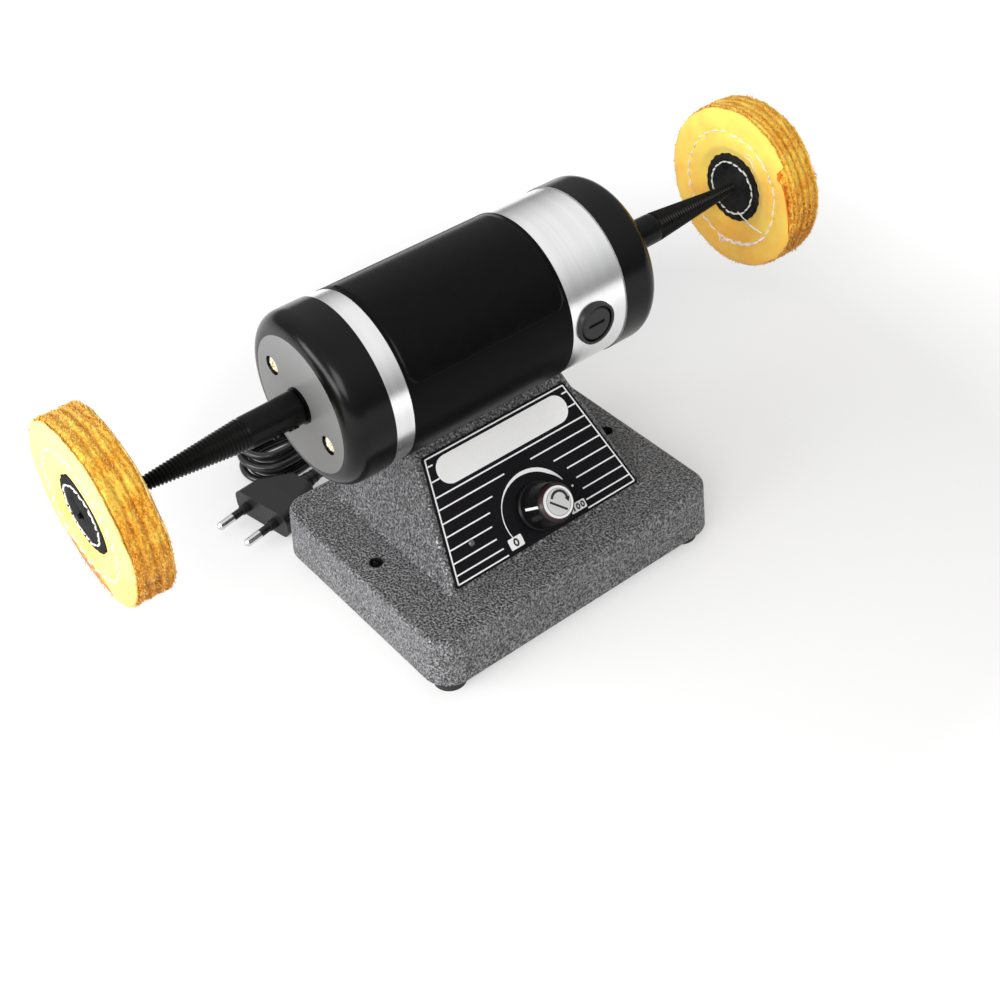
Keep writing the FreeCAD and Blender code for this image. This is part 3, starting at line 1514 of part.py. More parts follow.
def hank_nodes():
    """Places and headings along the hank: runs drawn in at the waist, and round folds at both ends."""
    outer = size("hank_outer_lane").value
    inner = size("hank_inner_lane").value
    draw = size("hank_draw").value
    rise = size("hank_rise").value
    centre = HANK_START.y + outer
    waist = (HANK_LEFT + HANK_RIGHT) / 2
    left = Vector(-1, 0, 0)
    right = Vector(1, 0, 0)
    nodes = [(HANK_START, left)]

    def run(lane, heading, layer, next_layer):
        """From one end of the hank to the other in a lane, climbing where the layers differ."""
        side = math.copysign(1, lane)
        far_x = HANK_LEFT if heading.x < 0 else HANK_RIGHT
        middle = HANK_START.z + rise * (layer + next_layer) / 2
        nodes.append((Vector(waist, centre + lane - side * draw, middle), heading))
        nodes.append((Vector(far_x, centre + lane, HANK_START.z + rise * next_layer), heading))

    def fold(start_lane, end_lane, heading, layer):
        """A half turn from one lane to another at an end of the hank."""
        here_x = HANK_LEFT if heading.x < 0 else HANK_RIGHT
        radius = abs(start_lane - end_lane) / 2
        height = HANK_START.z + rise * layer
        across = Vector(0, math.copysign(1, end_lane - start_lane), 0)
        tip = Vector(here_x + heading.x * radius, centre + (start_lane + end_lane) / 2, height)
        nodes.append((tip, across))
        nodes.append((Vector(here_x, centre + end_lane, height), heading * -1))

    nodes.append((Vector(HANK_RIGHT, HANK_START.y, HANK_START.z), left))
    layer = 0
    for coil in range(2):
        run(-outer, left, max(layer - 1, 0), layer)
        fold(-outer, outer, left, layer)
        run(outer, right, layer, layer)
        fold(outer, -inner, right, layer)
        run(-inner, left, layer, layer)
        fold(-inner, inner, left, layer)
        run(inner, right, layer, layer + 1)
        layer += 1
        fold(inner, -inner, right, layer)
        run(-inner, left, layer, layer)
        fold(-inner, outer, left, layer)
        run(outer, right, layer, layer)
        fold(outer, -outer, right, layer)
        layer += 1
    nodes.append((HANK_END, left))
    return nodes


def make_hank():
    nodes = hank_nodes()
    edges = []
    for (start, heading), (end, leaving) in zip(nodes, nodes[1:]):
        edges += biarc(start, heading, end, leaving)
    wire = Part.Wire(edges)
    shape = tube_along(wire)
    report_tube("cord_hank", wire, shape)
    print("cord_hank least gap to itself", round(least_gap(wire), 2))
    return cord_piece("cord_hank", shape)


def least_gap(wire):
    """The least clear gap between two stretches of the hank, measured on points along it."""
    count = VALUES["gap_point_count"]
    points = wire.discretize(Number=count)
    step = wire.Length / (count - 1)
    skip = int(3 * VALUES["cord_diameter"] / step)
    nearest = min((points[first] - points[second]).Length
                  for first in range(0, count, 2) for second in range(first + skip, count))
    return nearest - VALUES["cord_diameter"]


def make_hank_tie():
    """A flat band round the waist of the hank."""
    tie = new_body("hank_tie")
    slack = size("tie_slack")
    thickness = size("tie_thickness")
    radius = size("cord_diameter") / 2
    half_width = size("hank_outer_lane") - size("hank_draw") + radius + slack
    height = size("hank_rise") * 3 + radius * 2 + slack * 2
    section = new_sketch(tie, "YZ_Plane", "tie_section")
    rounded_rectangle(section, half_width + thickness, height / 2 + thickness, radius + thickness)
    rounded_rectangle(section, half_width, height / 2, radius)
    pad(tie, section, size("tie_width"), both_ways=True)
    middle = size("hank_rise") * 3 / 2 + HANK_START.z
    place(tie, as_size((HANK_LEFT + HANK_RIGHT) / 2), size("hank_outer_lane") + HANK_START.y, middle)
    return keep(tie)


def make_everything():
    make_base_casting()
    make_base_cover()
    make_feet()
    make_control_panel()
    make_speed_control()
    make_knob()
    make_power_lamp()
    make_motor_tube()
    make_motor_sleeve()
    make_end_covers()
    make_cover_screws()
    make_end_bells()
    make_shaft_washers()
    make_motor_bolts()
    make_magnets()
    make_bearings()
    make_motor_shaft()
    make_armature_core()
    make_armature_winding()
    make_commutator()
    make_brush_gear()
    make_spindles()
    make_set_screws()
    make_buffs()
    make_control_board()
    make_cord_gland()
    make_plug()
    make_free_cord("cord_entry", ENTRY_ROUTE)
    make_hank()
    make_hank_tie()
    make_free_cord("cord_tail", TAIL_ROUTE)


def check_and_write():
    doc.recompute()
    for item in doc.Objects:
        if "Invalid" in item.State or "Error" in item.State:
            raise RuntimeError(item.Label + " failed: " + str(item.State))
    os.makedirs("parts", exist_ok=True)
    for piece in pieces:
        shape = piece.Shape
        if shape.isNull() or not shape.isValid() or not shape.Solids:
            raise RuntimeError(piece.Label + " has no valid solid")
        shape.exportStep("parts/" + piece.Label + ".step")
        print(piece.Label, "solids", len(shape.Solids), "volume", round(shape.Volume, 1))
    print(len(pieces), "pieces written")


make_everything()
check_and_write()
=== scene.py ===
import random
from math import ceil, copysign, cos, degrees, exp, hypot, pi, radians, sin, sqrt, tau

import bpy
from mathutils import Matrix, Vector, noise


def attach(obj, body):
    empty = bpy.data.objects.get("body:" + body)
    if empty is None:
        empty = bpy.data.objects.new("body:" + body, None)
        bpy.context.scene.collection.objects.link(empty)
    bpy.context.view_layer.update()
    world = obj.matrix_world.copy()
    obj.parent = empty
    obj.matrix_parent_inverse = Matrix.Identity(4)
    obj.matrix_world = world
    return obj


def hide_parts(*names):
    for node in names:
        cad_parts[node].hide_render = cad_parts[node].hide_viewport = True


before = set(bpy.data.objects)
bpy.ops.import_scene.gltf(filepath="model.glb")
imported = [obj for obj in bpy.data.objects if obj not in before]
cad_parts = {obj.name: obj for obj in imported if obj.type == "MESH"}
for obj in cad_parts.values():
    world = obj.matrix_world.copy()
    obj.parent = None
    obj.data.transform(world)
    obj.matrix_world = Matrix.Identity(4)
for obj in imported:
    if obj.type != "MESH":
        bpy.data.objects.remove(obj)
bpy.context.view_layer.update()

# Places shared with the CAD part, in millimetres: the motor's axis, and the sloping panel
MM = 0.001
AXIS_Y = 16.9
AXIS_Z = 114.55
SLOPE = radians(50.0)
PANEL_FOOT = Vector((0.0, -37.1, 34.5))
PANEL_ACROSS = Vector((1.0, 0.0, 0.0))
PANEL_UP = Vector((0.0, cos(SLOPE), sin(SLOPE)))
PANEL_OUT = Vector((0.0, -sin(SLOPE), cos(SLOPE)))
KNOB_RISE = 12.0
DISC_FACE = 19.5
DISC_RIM = 6.95
BOLT_REACH = 65.6
BOLT_RADIUS = 3.0

FINISHES = {}


def new_object(name, data):
    item = bpy.data.objects.new(name, data)
    bpy.context.scene.collection.objects.link(item)
    return item


def panel_point(across, rise, out=0.0):
    return PANEL_FOOT + PANEL_ACROSS * across + PANEL_UP * rise + PANEL_OUT * out


def motor_point(along, radius, angle):
    """A point about the motor's axis; the angle runs from the back (+Y) over the top."""
    return Vector((along, AXIS_Y + radius * cos(angle), AXIS_Z + radius * sin(angle)))


# Camera: the photograph's viewpoint, solved from the plinth, panel, motor and buffs

CAMERA_PLACE = Vector((-0.3001, -0.4162, 0.4848))
CAMERA_TARGET = Vector((-0.0192, -0.0292, 0.0588))
CAMERA_ROLL = radians(-4.15)
CAMERA_LENS = 55.29


def make_camera():
    back = (CAMERA_PLACE - CAMERA_TARGET).normalized()
    across = Vector((0, 0, 1)).cross(back).normalized()
    up = back.cross(across)
    right = across * cos(CAMERA_ROLL) + up * sin(CAMERA_ROLL)
    top = up * cos(CAMERA_ROLL) - across * sin(CAMERA_ROLL)
    data = bpy.data.cameras.new("camera")
    data.lens = CAMERA_LENS
    data.sensor_width = 36.0
    data.clip_start = 0.01
    camera = new_object("camera", data)
    turn = Matrix((right, top, back)).transposed().to_4x4()
    camera.matrix_world = Matrix.Translation(CAMERA_PLACE) @ turn
    bpy.context.scene.camera = camera


# Shader nodes: an input takes a plain value or another node's output

def connect(tree, node, inputs):
    for key, value in inputs.items():
        if isinstance(value, bpy.types.NodeSocket):
            tree.links.new(value, node.inputs[key])
        else:
            node.inputs[key].default_value = value


def add_node(tree, kind, inputs=None, **settings):
    node = tree.nodes.new("ShaderNode" + kind)
    for key, value in settings.items():
        setattr(node, key, value)
    connect(tree, node, inputs or {})
    return node


def calculated(tree, operation, *terms):
    return add_node(tree, "Math", dict(enumerate(terms)), operation=operation).outputs[0]


def mapped(tree, value, low, high, to_low, to_high):
    return add_node(tree, "MapRange", {"Value": value, "From Min": low, "From Max": high,
                                       "To Min": to_low, "To Max": to_high}).outputs[0]


def object_points(tree, stretch=(1, 1, 1)):
    points = add_node(tree, "TexCoord").outputs["Object"]
    return add_node(tree, "Mapping", {"Vector": points, "Scale": stretch}).outputs["Vector"]


def noise_of(tree, points, scale, detail=3.0, roughness=0.55, distortion=0.0):
    inputs = {"Vector": points, "Scale": scale, "Detail": detail, "Roughness": roughness,
              "Distortion": distortion}
    return add_node(tree, "TexNoise", inputs).outputs["Fac"]


def distance_to(tree, points, place):
    """Distance from a place, or from a line through it where the points are flattened first."""
    node = add_node(tree, "VectorMath", {0: points, 1: place}, operation="DISTANCE")
    return node.outputs["Value"]


def painted_light_by_height(tree, low, high, spread):
    """How far a point is up the object, as a number from -spread to spread; added to a tone, it
    paints light on the higher parts.
    """
    height = add_node(tree, "SeparateXYZ", {0: object_points(tree)}).outputs["Z"]
    return mapped(tree, height, low, high, -spread, spread)


def ramp(tree, value, *stops):
    """A colour that changes with a value; a stop's single number stands for a grey."""
    node = add_node(tree, "ValToRGB", {"Fac": value})
    elements = node.color_ramp.elements
    while len(elements) < len(stops):
        elements.new(0.5)
    for element, (place, colour) in zip(elements, stops):
        element.position = place
        element.color = (*(colour if isinstance(colour, tuple) else (colour,) * 3), 1.0)
    return node.outputs["Color"]


def bump(tree, height, strength, distance, edge=0.0):
    """The normal of a relief, with sharp edges rounded over a radius where one is given."""
    inputs = {"Height": height, "Strength": strength, "Distance": distance}
    if edge:
        inputs["Normal"] = add_node(tree, "Bevel", {"Radius": edge}, samples=3).outputs["Normal"]
    return add_node(tree, "Bump", inputs).outputs["Normal"]


# Materials

def new_material(name):
    material = bpy.data.materials.new(name)
    material.use_nodes = True
    return material, material.node_tree, material.node_tree.nodes["Principled BSDF"]


def speckled(name, dark, light, rough, scale, lift, specular, metallic=0.0, distance=0.0002,
             coat=0.0, stretch=(1, 1, 1), edge=0.0):
    """A plain finish with fine uneven colour, gloss and surface, which most pieces take."""
    material, tree, shader = new_material(name)
    points = object_points(tree, stretch)
    grain = noise_of(tree, points, scale)
    broad = noise_of(tree, points, scale / 14.0, 2.0)
    tone = calculated(tree, "MULTIPLY", calculated(tree, "ADD", grain, broad), 0.5)
    connect(tree, shader, {
        "Base Color": ramp(tree, tone, (0.36, dark), (0.64, light)),
        "Roughness": ramp(tree, tone, (0.3, rough[0]), (0.7, rough[1])),
        "Metallic": metallic, "Coat Weight": coat, "Coat Roughness": 0.08,
        "Specular IOR Level": specular, "Normal": bump(tree, grain, lift, distance, edge)})
    return material


def hammertone():
    """Grey hammertone enamel: pale ridges round dark pits, whose darkness is partly painted shade,
    and painted shade inside the bolt holes.
    """
    material, tree, shader = new_material("hammertone_enamel")
    points = object_points(tree)
    crinkle = noise_of(tree, points, 1080.0, 0.4, 0.5, 0.6)
    tone = calculated(tree, "MULTIPLY_ADD", noise_of(tree, points, 60.0, 2.0), 0.06, crinkle)
    # Mottled enamel tone, darkest where the relief below is lowest: partly the enamel's own mottle,
    # partly painted shade in its pits
    enamel = ramp(tree, tone, (0.35, (0.035, 0.035, 0.036)), (0.45, (0.115, 0.115, 0.118)),
                  (0.57, (0.21, 0.21, 0.216)), (0.68, (0.32, 0.32, 0.33)))
    # Painted shade: the enamel is darkened inside the two bolt holes, where they lie in shade
    plan = object_points(tree, (1, 1, 0))
    mirrored = add_node(tree, "VectorMath", {0: plan}, operation="ABSOLUTE")
    reach = distance_to(tree, mirrored.outputs["Vector"], (BOLT_REACH * MM, 0, 0))
    inside = mapped(tree, reach, BOLT_RADIUS * MM * 1.02, BOLT_RADIUS * MM * 1.12, 0.03, 1.0)
    hole_shaded = add_node(tree, "VectorMath", {0: enamel, "Scale": inside}, operation="SCALE")
    height = ramp(tree, crinkle, (0.36, 0.0), (0.66, 1.0))
    connect(tree, shader, {
        "Base Color": hole_shaded.outputs["Vector"],
        "Roughness": ramp(tree, crinkle, (0.35, 0.46), (0.65, 0.34)),
        "Metallic": 0.2, "Specular IOR Level": 0.4,
        "Normal": bump(tree, height, 1.0, 0.0007, 0.0007)})
    return material


FLAT_FACE = 0.9995


def cover_enamel():
    """Gloss black enamel, duller on the covers' flat ends than round them, with a painted grey
    reflection on the flat ends.
    """
    material, tree, shader = new_material("black_cover")
    grain = noise_of(tree, object_points(tree), 2600.0)
    facing = add_node(tree, "NewGeometry").outputs["True Normal"]
    along = add_node(tree, "SeparateXYZ", {0: facing}).outputs["X"]
    flat = calculated(tree, "GREATER_THAN", calculated(tree, "ABSOLUTE", along), FLAT_FACE)
    # Painted reflection: the flat ends are coloured grey for the pale surroundings that they
    # reflect
    for socket, barrel, end in (("Base Color", (0.0025, 0.004), (0.19, 0.21)),
                                ("Roughness", (0.20, 0.23), (0.32, 0.38))):
        barrel_and_glare_tones = [ramp(tree, grain, (0.35, low), (0.65, high)) for low, high in (barrel, end)]
        mix = add_node(tree, "Mix", {0: flat, 6: barrel_and_glare_tones[0], 7: barrel_and_glare_tones[1]}, data_type="RGBA")
        connect(tree, shader, {socket: mix.outputs[2]})
    connect(tree, shader, {"Specular IOR Level": 0.17,
                           "Normal": bump(tree, grain, 0.02, 0.00003, 0.0004)})
    return material


def knob_disc():
    """Silver disc with a dull ring inside its white rim."""
    material, tree, shader = new_material("knob_disc_silver")
    reach = distance_to(tree, object_points(tree), panel_point(0, KNOB_RISE, DISC_FACE) * MM)
    share = calculated(tree, "DIVIDE", reach, DISC_RIM * MM)
    grain = noise_of(tree, object_points(tree), 1500.0)
    connect(tree, shader, {
        "Base Color": ramp(tree, share, (0.0, 0.62), (0.78, 0.66), (0.81, 0.42), (0.85, 0.42),
                           (0.88, 0.92)),
        "Roughness": ramp(tree, grain, (0.3, 0.32), (0.7, 0.40)),
        "Metallic": 0.25, "Normal": bump(tree, grain, 0.03, 0.0002)})
    return material


def turned_metal():
    """Bright tube turned on a lathe: fine rings round its axis that spread its highlights."""
    material, tree, shader = new_material("turned_tube")
    rings = noise_of(tree, object_points(tree, (1, 0.004, 0.004)), 5200.0, 2.0, 0.6)
    bands = noise_of(tree, object_points(tree, (1, 0.03, 0.03)), 260.0, 2.0)
    connect(tree, shader, {
        "Base Color": ramp(tree, bands, (0.3, (0.80, 0.802, 0.81)), (0.7, (0.87, 0.87, 0.872))),
        "Roughness": ramp(tree, rings, (0.3, 0.20), (0.7, 0.26)),
        "Metallic": 1.0, "Normal": bump(tree, rings, 0.06, 0.00003)})
    return material


WEAVE = 1900.0 / 3.0


def cloth(name, pale, deep):
    """Stiff yellow cotton: a plain weave, with painted light that makes it paler higher up and
    deeper lower down.
    """
    material, tree, shader = new_material(name)
    points = object_points(tree)
    waves = [add_node(tree, "TexWave", {"Vector": points, "Scale": WEAVE, "Distortion": 1.2},
                      wave_type="BANDS", bands_direction=direction) for direction in "YZ"]
    threads = calculated(tree, "MAXIMUM", *[wave.outputs["Fac"] for wave in waves])
    # Random patches of deeper and paler cloth, plus painted light that makes the colour paler
    # higher up and deeper lower down
    tone = calculated(tree, "MULTIPLY_ADD", noise_of(tree, points, 70.0, 4.0), 0.7,
                      painted_light_by_height(tree, 0.082, 0.148, 0.16))
    connect(tree, shader, {
        "Base Color": ramp(tree, tone, (0.18, deep), (0.52, pale)),
        "Roughness": 0.92, "Sheen Weight": 0.2, "Sheen Roughness": 0.5, "Specular IOR Level": 0.15,
        "Normal": bump(tree, threads, 0.5, 0.00015)})
    return material


def pile(name, pale, middle, deep):
    """The frayed edge of cut cotton: tufts, with painted light making it paler towards the top and
    painted shade making it deep between the plies.
    """
    material, tree, shader = new_material(name)
    tufts = noise_of(tree, object_points(tree, (1.0, 0.5, 0.5)), 1000.0, 3.0, 0.8, 1.4)
    patches = noise_of(tree, object_points(tree, (0.5, 1, 1)), 130.0, 3.0)
    radius = distance_to(tree, object_points(tree, (0, 1, 1)), (0, AXIS_Y * MM, AXIS_Z * MM))
    tone = calculated(tree, "MULTIPLY_ADD", patches, 0.6, tufts)
    # Painted shade deeper into the pile, painted light higher up, and paler cloth under the face
    # plies
    for share in (mapped(tree, radius, 0.0358, 0.0392, -0.14, 0.08),
                  painted_light_by_height(tree, 0.095, 0.155, 0.10),
                  mapped(tree, radius, 0.0340, 0.0354, 0.13, 0.0)):
        tone = calculated(tree, "ADD", share, tone)
    connect(tree, shader, {
        "Base Color": ramp(tree, tone, (0.60, deep), (0.76, middle), (0.96, pale)),
        "Roughness": 0.95, "Sheen Weight": 0.3, "Specular IOR Level": 0.1,
        "Normal": bump(tree, tufts, 0.8, 0.0007)})
    return material


BLACK = (0.002, 0.002, 0.0023)
DEEP = (0.0035, 0.0035, 0.004)
FINE = {"distance": 0.00005}
METAL = {"metallic": 1.0}
# Dark and light colours, least and most roughness, scale of the grain, its relief, specular level,
# and what differs from a plain finish
SPECKLED = {
    "sleeve": ("black_sleeve", BLACK, DEEP, (0.34, 0.40), 2600, 0.02, 0.06, FINE),
    "label": ("black_label_film", BLACK, DEEP, (0.22, 0.26), 2600, 0.02, 0.08, FINE),
    "panel": ("panel_black", (0.005, 0.0045, 0.0055), (0.009, 0.008, 0.010), (0.40, 0.48), 600,
              0.03, 0.08, {"edge": 0.0002}),
    "print": ("white_print", 0.89, 0.94, (0.45, 0.55), 900, 0.02, 0.5, {}),
    "ink": ("black_print", 0.006, 0.01, (0.45, 0.55), 900, 0.02, 0.5, {}),
    "rubber": ("black_rubber", 0.008, 0.018, (0.60, 0.75), 900, 0.12, 0.5, {"edge": 0.0004}),
    "moulding": ("black_moulding", 0.006, 0.012, (0.38, 0.48), 1200, 0.1, 0.4, {"edge": 0.0003}),
    "knob": ("knob_black", 0.003, 0.005, (0.26, 0.30), 2600, 0.02, 0.2, FINE),
    "bevel": ("knob_bevel", (0.018, 0.002, 0.003), (0.030, 0.003, 0.005), (0.3, 0.36), 900,
              0.02, 0.5, {}),
    "blackened": ("blackened_steel", 0.002, 0.005, (0.26, 0.32), 1300, 0.08, 0.13,
                  {"edge": 0.0001}),
    "plated": ("zinc_plate", 0.55, 0.66, (0.26, 0.36), 1200, 0.05, 0.5, METAL),
    "brass": ("pale_brass_plate", (0.74, 0.66, 0.44), (0.84, 0.78, 0.58), (0.22, 0.32), 1500,
              0.05, 0.5, METAL),
    "nickel": ("nickel_plate", 0.62, 0.72, (0.18, 0.26), 1200, 0.04, 0.5, METAL),
    "ground": ("ground_steel", 0.5, 0.6, (0.2, 0.3), 1500, 0.04, 0.5,
               {"metallic": 1.0, "stretch": (0.1, 1, 1)}),
    "alloy": ("cast_alloy", 0.50, 0.62, (0.4, 0.55), 900, 0.15, 0.5, METAL),
    "iron": ("laminated_core", 0.22, 0.34, (0.4, 0.55), 2400, 0.1, 0.5,
             {"metallic": 0.8, "stretch": (1, 0.05, 0.05)}),
    "copper": ("copper_winding", (0.42, 0.17, 0.07), (0.62, 0.28, 0.13), (0.3, 0.42), 1500,
               0.2, 0.5, {"metallic": 0.9, "stretch": (0.2, 1, 1)}),
    "ferrite": ("ferrite", 0.07, 0.11, (0.5, 0.65), 900, 0.1, 0.5, {}),
    "carbon": ("carbon_brush", 0.03, 0.05, (0.45, 0.6), 1400, 0.1, 0.5, {}),
    "board": ("board_laminate", (0.03, 0.16, 0.07), (0.05, 0.22, 0.10), (0.35, 0.45), 900,
              0.05, 0.5, {}),
    "terminal": ("terminal_green", (0.05, 0.26, 0.10), (0.08, 0.34, 0.14), (0.4, 0.5), 900,
                 0.05, 0.5, {}),
    "nylon": ("natural_nylon", 0.68, 0.76, (0.4, 0.5), 900, 0.05, 0.5, {}),
    "film_box": ("capacitor_yellow", (0.66, 0.46, 0.06), (0.76, 0.56, 0.10), (0.35, 0.45), 900,
                 0.05, 0.5, {}),
    "lamp": ("lamp_lens", 0.05, 0.09, (0.08, 0.14), 1500, 0.03, 0.5, {"coat": 0.8}),
    "cord": ("cord_sheath", 0.008, 0.014, (0.26, 0.34), 1400, 0.1, 0.5, {}),
    "fibre_pale": ("pale_fibre", (1.0, 0.68, 0.12), (1.0, 0.80, 0.28), (0.85, 0.95), 500,
                   0.1, 0.1, {}),
    "fibre_deep": ("deep_fibre", (0.60, 0.20, 0.01), (0.90, 0.42, 0.03), (0.85, 0.95), 500,
                   0.1, 0.1, {}),
    "felt": ("black_felt", 0.005, 0.028, (0.85, 0.95), 1600, 0.5, 0.08, {"distance": 0.0003}),
    "thread": ("white_thread", (0.80, 0.78, 0.72), (0.92, 0.91, 0.87), (0.8, 0.9), 2200,
               0.4, 0.15, {}),
    "tear": ("torn_cotton", (0.75, 0.16, 0.01), (0.90, 0.28, 0.02), (0.9, 0.95), 900, 0.3, 0.1, {}),
}


def make_materials():
    for key, (*values, options) in SPECKLED.items():
        FINISHES[key] = speckled(*values, **options)
    FINISHES.update({
        "hammertone": hammertone(), "tube": turned_metal(), "cover": cover_enamel(),
        "disc": knob_disc(),
        # Painted light: the left buff's cloth is a paler copy of the same yellow cloth, for the
        # stronger light on it
        "left_face": cloth("left_buff_cloth_painted_light", (0.86, 0.70, 0.26), (0.84, 0.60, 0.15)),
        "right_face": cloth("right_buff_cloth", (1.0, 0.76, 0.14), (1.0, 0.52, 0.08)),
        "pile": pile("frayed_cotton", (1.0, 0.70, 0.10), (0.86, 0.34, 0.015), (0.36, 0.09, 0.004))})


CAD_NODES = {
    "hammertone": "base_casting", "panel": "control_panel", "knob": "knob_body",
    "disc": "knob_disc", "lamp": "power_lamp", "tube": "motor_tube", "brass": "cover_screws",
    "iron": "armature_core", "board": "circuit_board", "nylon": "board_standoffs",
    "terminal": "terminal_block", "film_box": "suppression_capacitor",
    "left_face": "left_buff", "right_face": "right_buff", "ferrite": "field_magnets",
    "felt": "left_buff_discs right_buff_discs",
    "cover": "left_end_cover right_end_cover", "copper": "armature_winding commutator",
    "ground": "potentiometer_shaft motor_shaft", "rubber": "rubber_feet hank_tie",
    "carbon": "front_carbon_brush rear_carbon_brush", "cord": "cord_entry cord_hank cord_tail",
    "sleeve": "motor_sleeve left_shaft_washer right_shaft_washer",
    "alloy": "left_end_bell right_end_bell heat_sink",
    "blackened": "motor_bolts left_spindle right_spindle spindle_set_screws",
    "plated": "base_cover foot_screws speed_potentiometer front_brush_spring rear_brush_spring",
    "nickel": "potentiometer_nut bearing_outer_rings bearing_inner_rings bearing_balls plug_pins",
    "moulding": "front_brush_holder rear_brush_holder front_brush_cap rear_brush_cap cord_gland "
                "plug_body plug_strain_relief plug_pin_sleeves",
}


def finish_nodes():
    for finish, names in CAD_NODES.items():
        for name in names.split():
            piece = bpy.data.objects[name]
            if not piece.material_slots:
                piece.data.materials.append(FINISHES[finish])
            for slot in piece.material_slots:
                slot.material = FINISHES[finish]


# Mesh helpers: a part is its (points, faces), and lengths are in millimetres until mesh_piece

def mesh_piece(name, part, finish, body, smooth=True):
    points, faces = part
    mesh = bpy.data.meshes.new(name)
    mesh.from_pydata([tuple(Vector(point) * MM) for point in points], [], faces)
    mesh.validate()
    for key in [finish] if isinstance(finish, str) else finish:
        mesh.materials.append(FINISHES[key])
    for polygon in mesh.polygons:
        polygon.use_smooth = smooth
    piece = new_object(name, mesh)
    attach(piece, body)
    return piece


def turns(columns):
    return [tau * column / columns for column in range(columns)]


def shares(count):
    return [step / (count - 1) for step in range(count)]


def clamped(value):
    return min(1.0, max(0.0, value))


def flipped(faces, flip=True):
    return [tuple(reversed(face)) for face in faces] if flip else faces


def other_side(face):
    """The same face turned over, from the same first corner."""
    return (face[0], *reversed(face[1:]))


def ring_faces(rows, columns, closed=False, capped=False):
    """Faces of rows that are closed rings, joined end to end or with both ends filled if asked."""
    faces = []
    for row in range(rows if closed else rows - 1):
        here = row * columns
        below = (row + 1) % rows * columns
        for column in range(columns):
            beside = (column + 1) % columns
            faces.append((here + column, here + beside, below + beside, below + column))
    if capped:
        last = (rows - 1) * columns
        faces += [tuple(reversed(range(columns))), tuple(range(last, last + columns))]
    return faces


def slab_faces(rows, columns):
    """Faces of two grids of rings, one under the other, joined at their inner and outer edges."""
    top = ring_faces(rows, columns)
    base = rows * columns
    outer = base - columns
    faces = top + flipped([tuple(base + index for index in face) for face in top])
    for column in range(columns):
        beside = (column + 1) % columns
        faces += [(outer + column, outer + beside, base + outer + beside, base + outer + column),
                  (column, base + column, base + beside, beside)]
    return faces


def bar_faces(rows, closed=False):
    """Faces of a bar whose rows have four points each, with its ends filled unless it is closed."""
    faces = []
    for row in range(rows if closed else rows - 1):
        here = row * 4
        after = (row + 1) % rows * 4
        faces += [(here + 1, after + 1, after + 3, here + 3), (here, here + 2, after + 2, after),
                  (here, after, after + 1, here + 1), (here + 2, here + 3, after + 3, after + 2)]
    if not closed:
        last = (rows - 1) * 4
        faces += [(0, 1, 3, 2), (last, last + 2, last + 3, last + 1)]
    return faces


def extruded(outline, low, high):
    """A closed slab from a flat outline of (across, rise) pairs, standing between two heights."""
    count = len(outline)
    points = [(across, rise, out) for out in (low, high) for across, rise in outline]
    faces = [tuple(range(count, 2 * count)), tuple(reversed(range(count)))]
    for index in range(count):
        following = (index + 1) % count
        faces.append((index, following, count + following, count + index))
    return points, faces


def joined(parts):
    points = []
    faces = []
    for part_points, part_faces in parts:
        start = len(points)
        points += part_points
        faces += [tuple(start + index for index in face) for face in part_faces]
    return points, faces


SIDE_HINT = Vector((0.31, 0.52, 0.8))


def tube(path, radius, sides=8, ends=0.0):
    """A closed round tube along points; with ends above zero it narrows towards both tips."""
    path = [Vector(point) for point in path]
    points = []
    last = len(path) - 1
    for index, place in enumerate(path):
        heading = (path[min(index + 1, last)] - path[max(index - 1, 0)]).normalized()
        across = heading.cross(SIDE_HINT).normalized()
        up = heading.cross(across)
        share = min(index, last - index) / last * 2
        here = radius * (1 - ends * (1 - share) ** 2)
        for turn in turns(sides):
            points.append(place + across * (here * cos(turn)) + up * (here * sin(turn)))
    return points, ring_faces(len(path), sides, capped=True)


def smooth_path(points, steps=8):
    """Points along a Catmull-Rom curve through the given ones."""
    points = [Vector(point) for point in points]
    padded = [points[0] * 2 - points[1]] + points + [points[-1] * 2 - points[-2]]
    path = []
    for index in range(1, len(padded) - 2):
        before, start, end, after = padded[index - 1:index + 3]
        for step in range(steps):
            share = step / steps
            path.append(0.5 * (start * 2 + (end - before) * share
                               + (before * 2 - start * 5 + end * 4 - after) * share ** 2
                               + (start * 3 - before - end * 3 + after) * share ** 3))
    path.append(points[-1])
    return path


# Mains lead: one cord from the gland through the tied hank to the plug

CORD_DIAMETER = 3.6
ENTRY_ROUTE = [(48.0, 81.0, 14.6), (48.0, 87.7, 14.6), (46.4, 94.1, 12.5), (43.0, 98.9, 8.7),
               (37.9, 102.3, 5.1), (31.5, 104.0, 2.8), (24.6, 104.0, 2.8)]
TAIL_ROUTE = [(16.0, 104.0, 15.4), (5.0, 104.0, 15.4), (-5.6, 101.6, 13.0), (-13.6, 98.2, 9.2),
              (-22.36, 95.58, 6.9), (-31.0, 93.9, 6.9)]
HANK_START = Vector((24.6, 104.0, 2.8))
HANK_LEFT = -46.8
HANK_RIGHT = 20.0
HANK_OUTER = 15.2
HANK_INNER = 10.8
HANK_DRAW = 5.4
HANK_RISE = 4.2
HANK_COILS = 2
RUN_POINTS = 7
FOLD_POINTS = 7


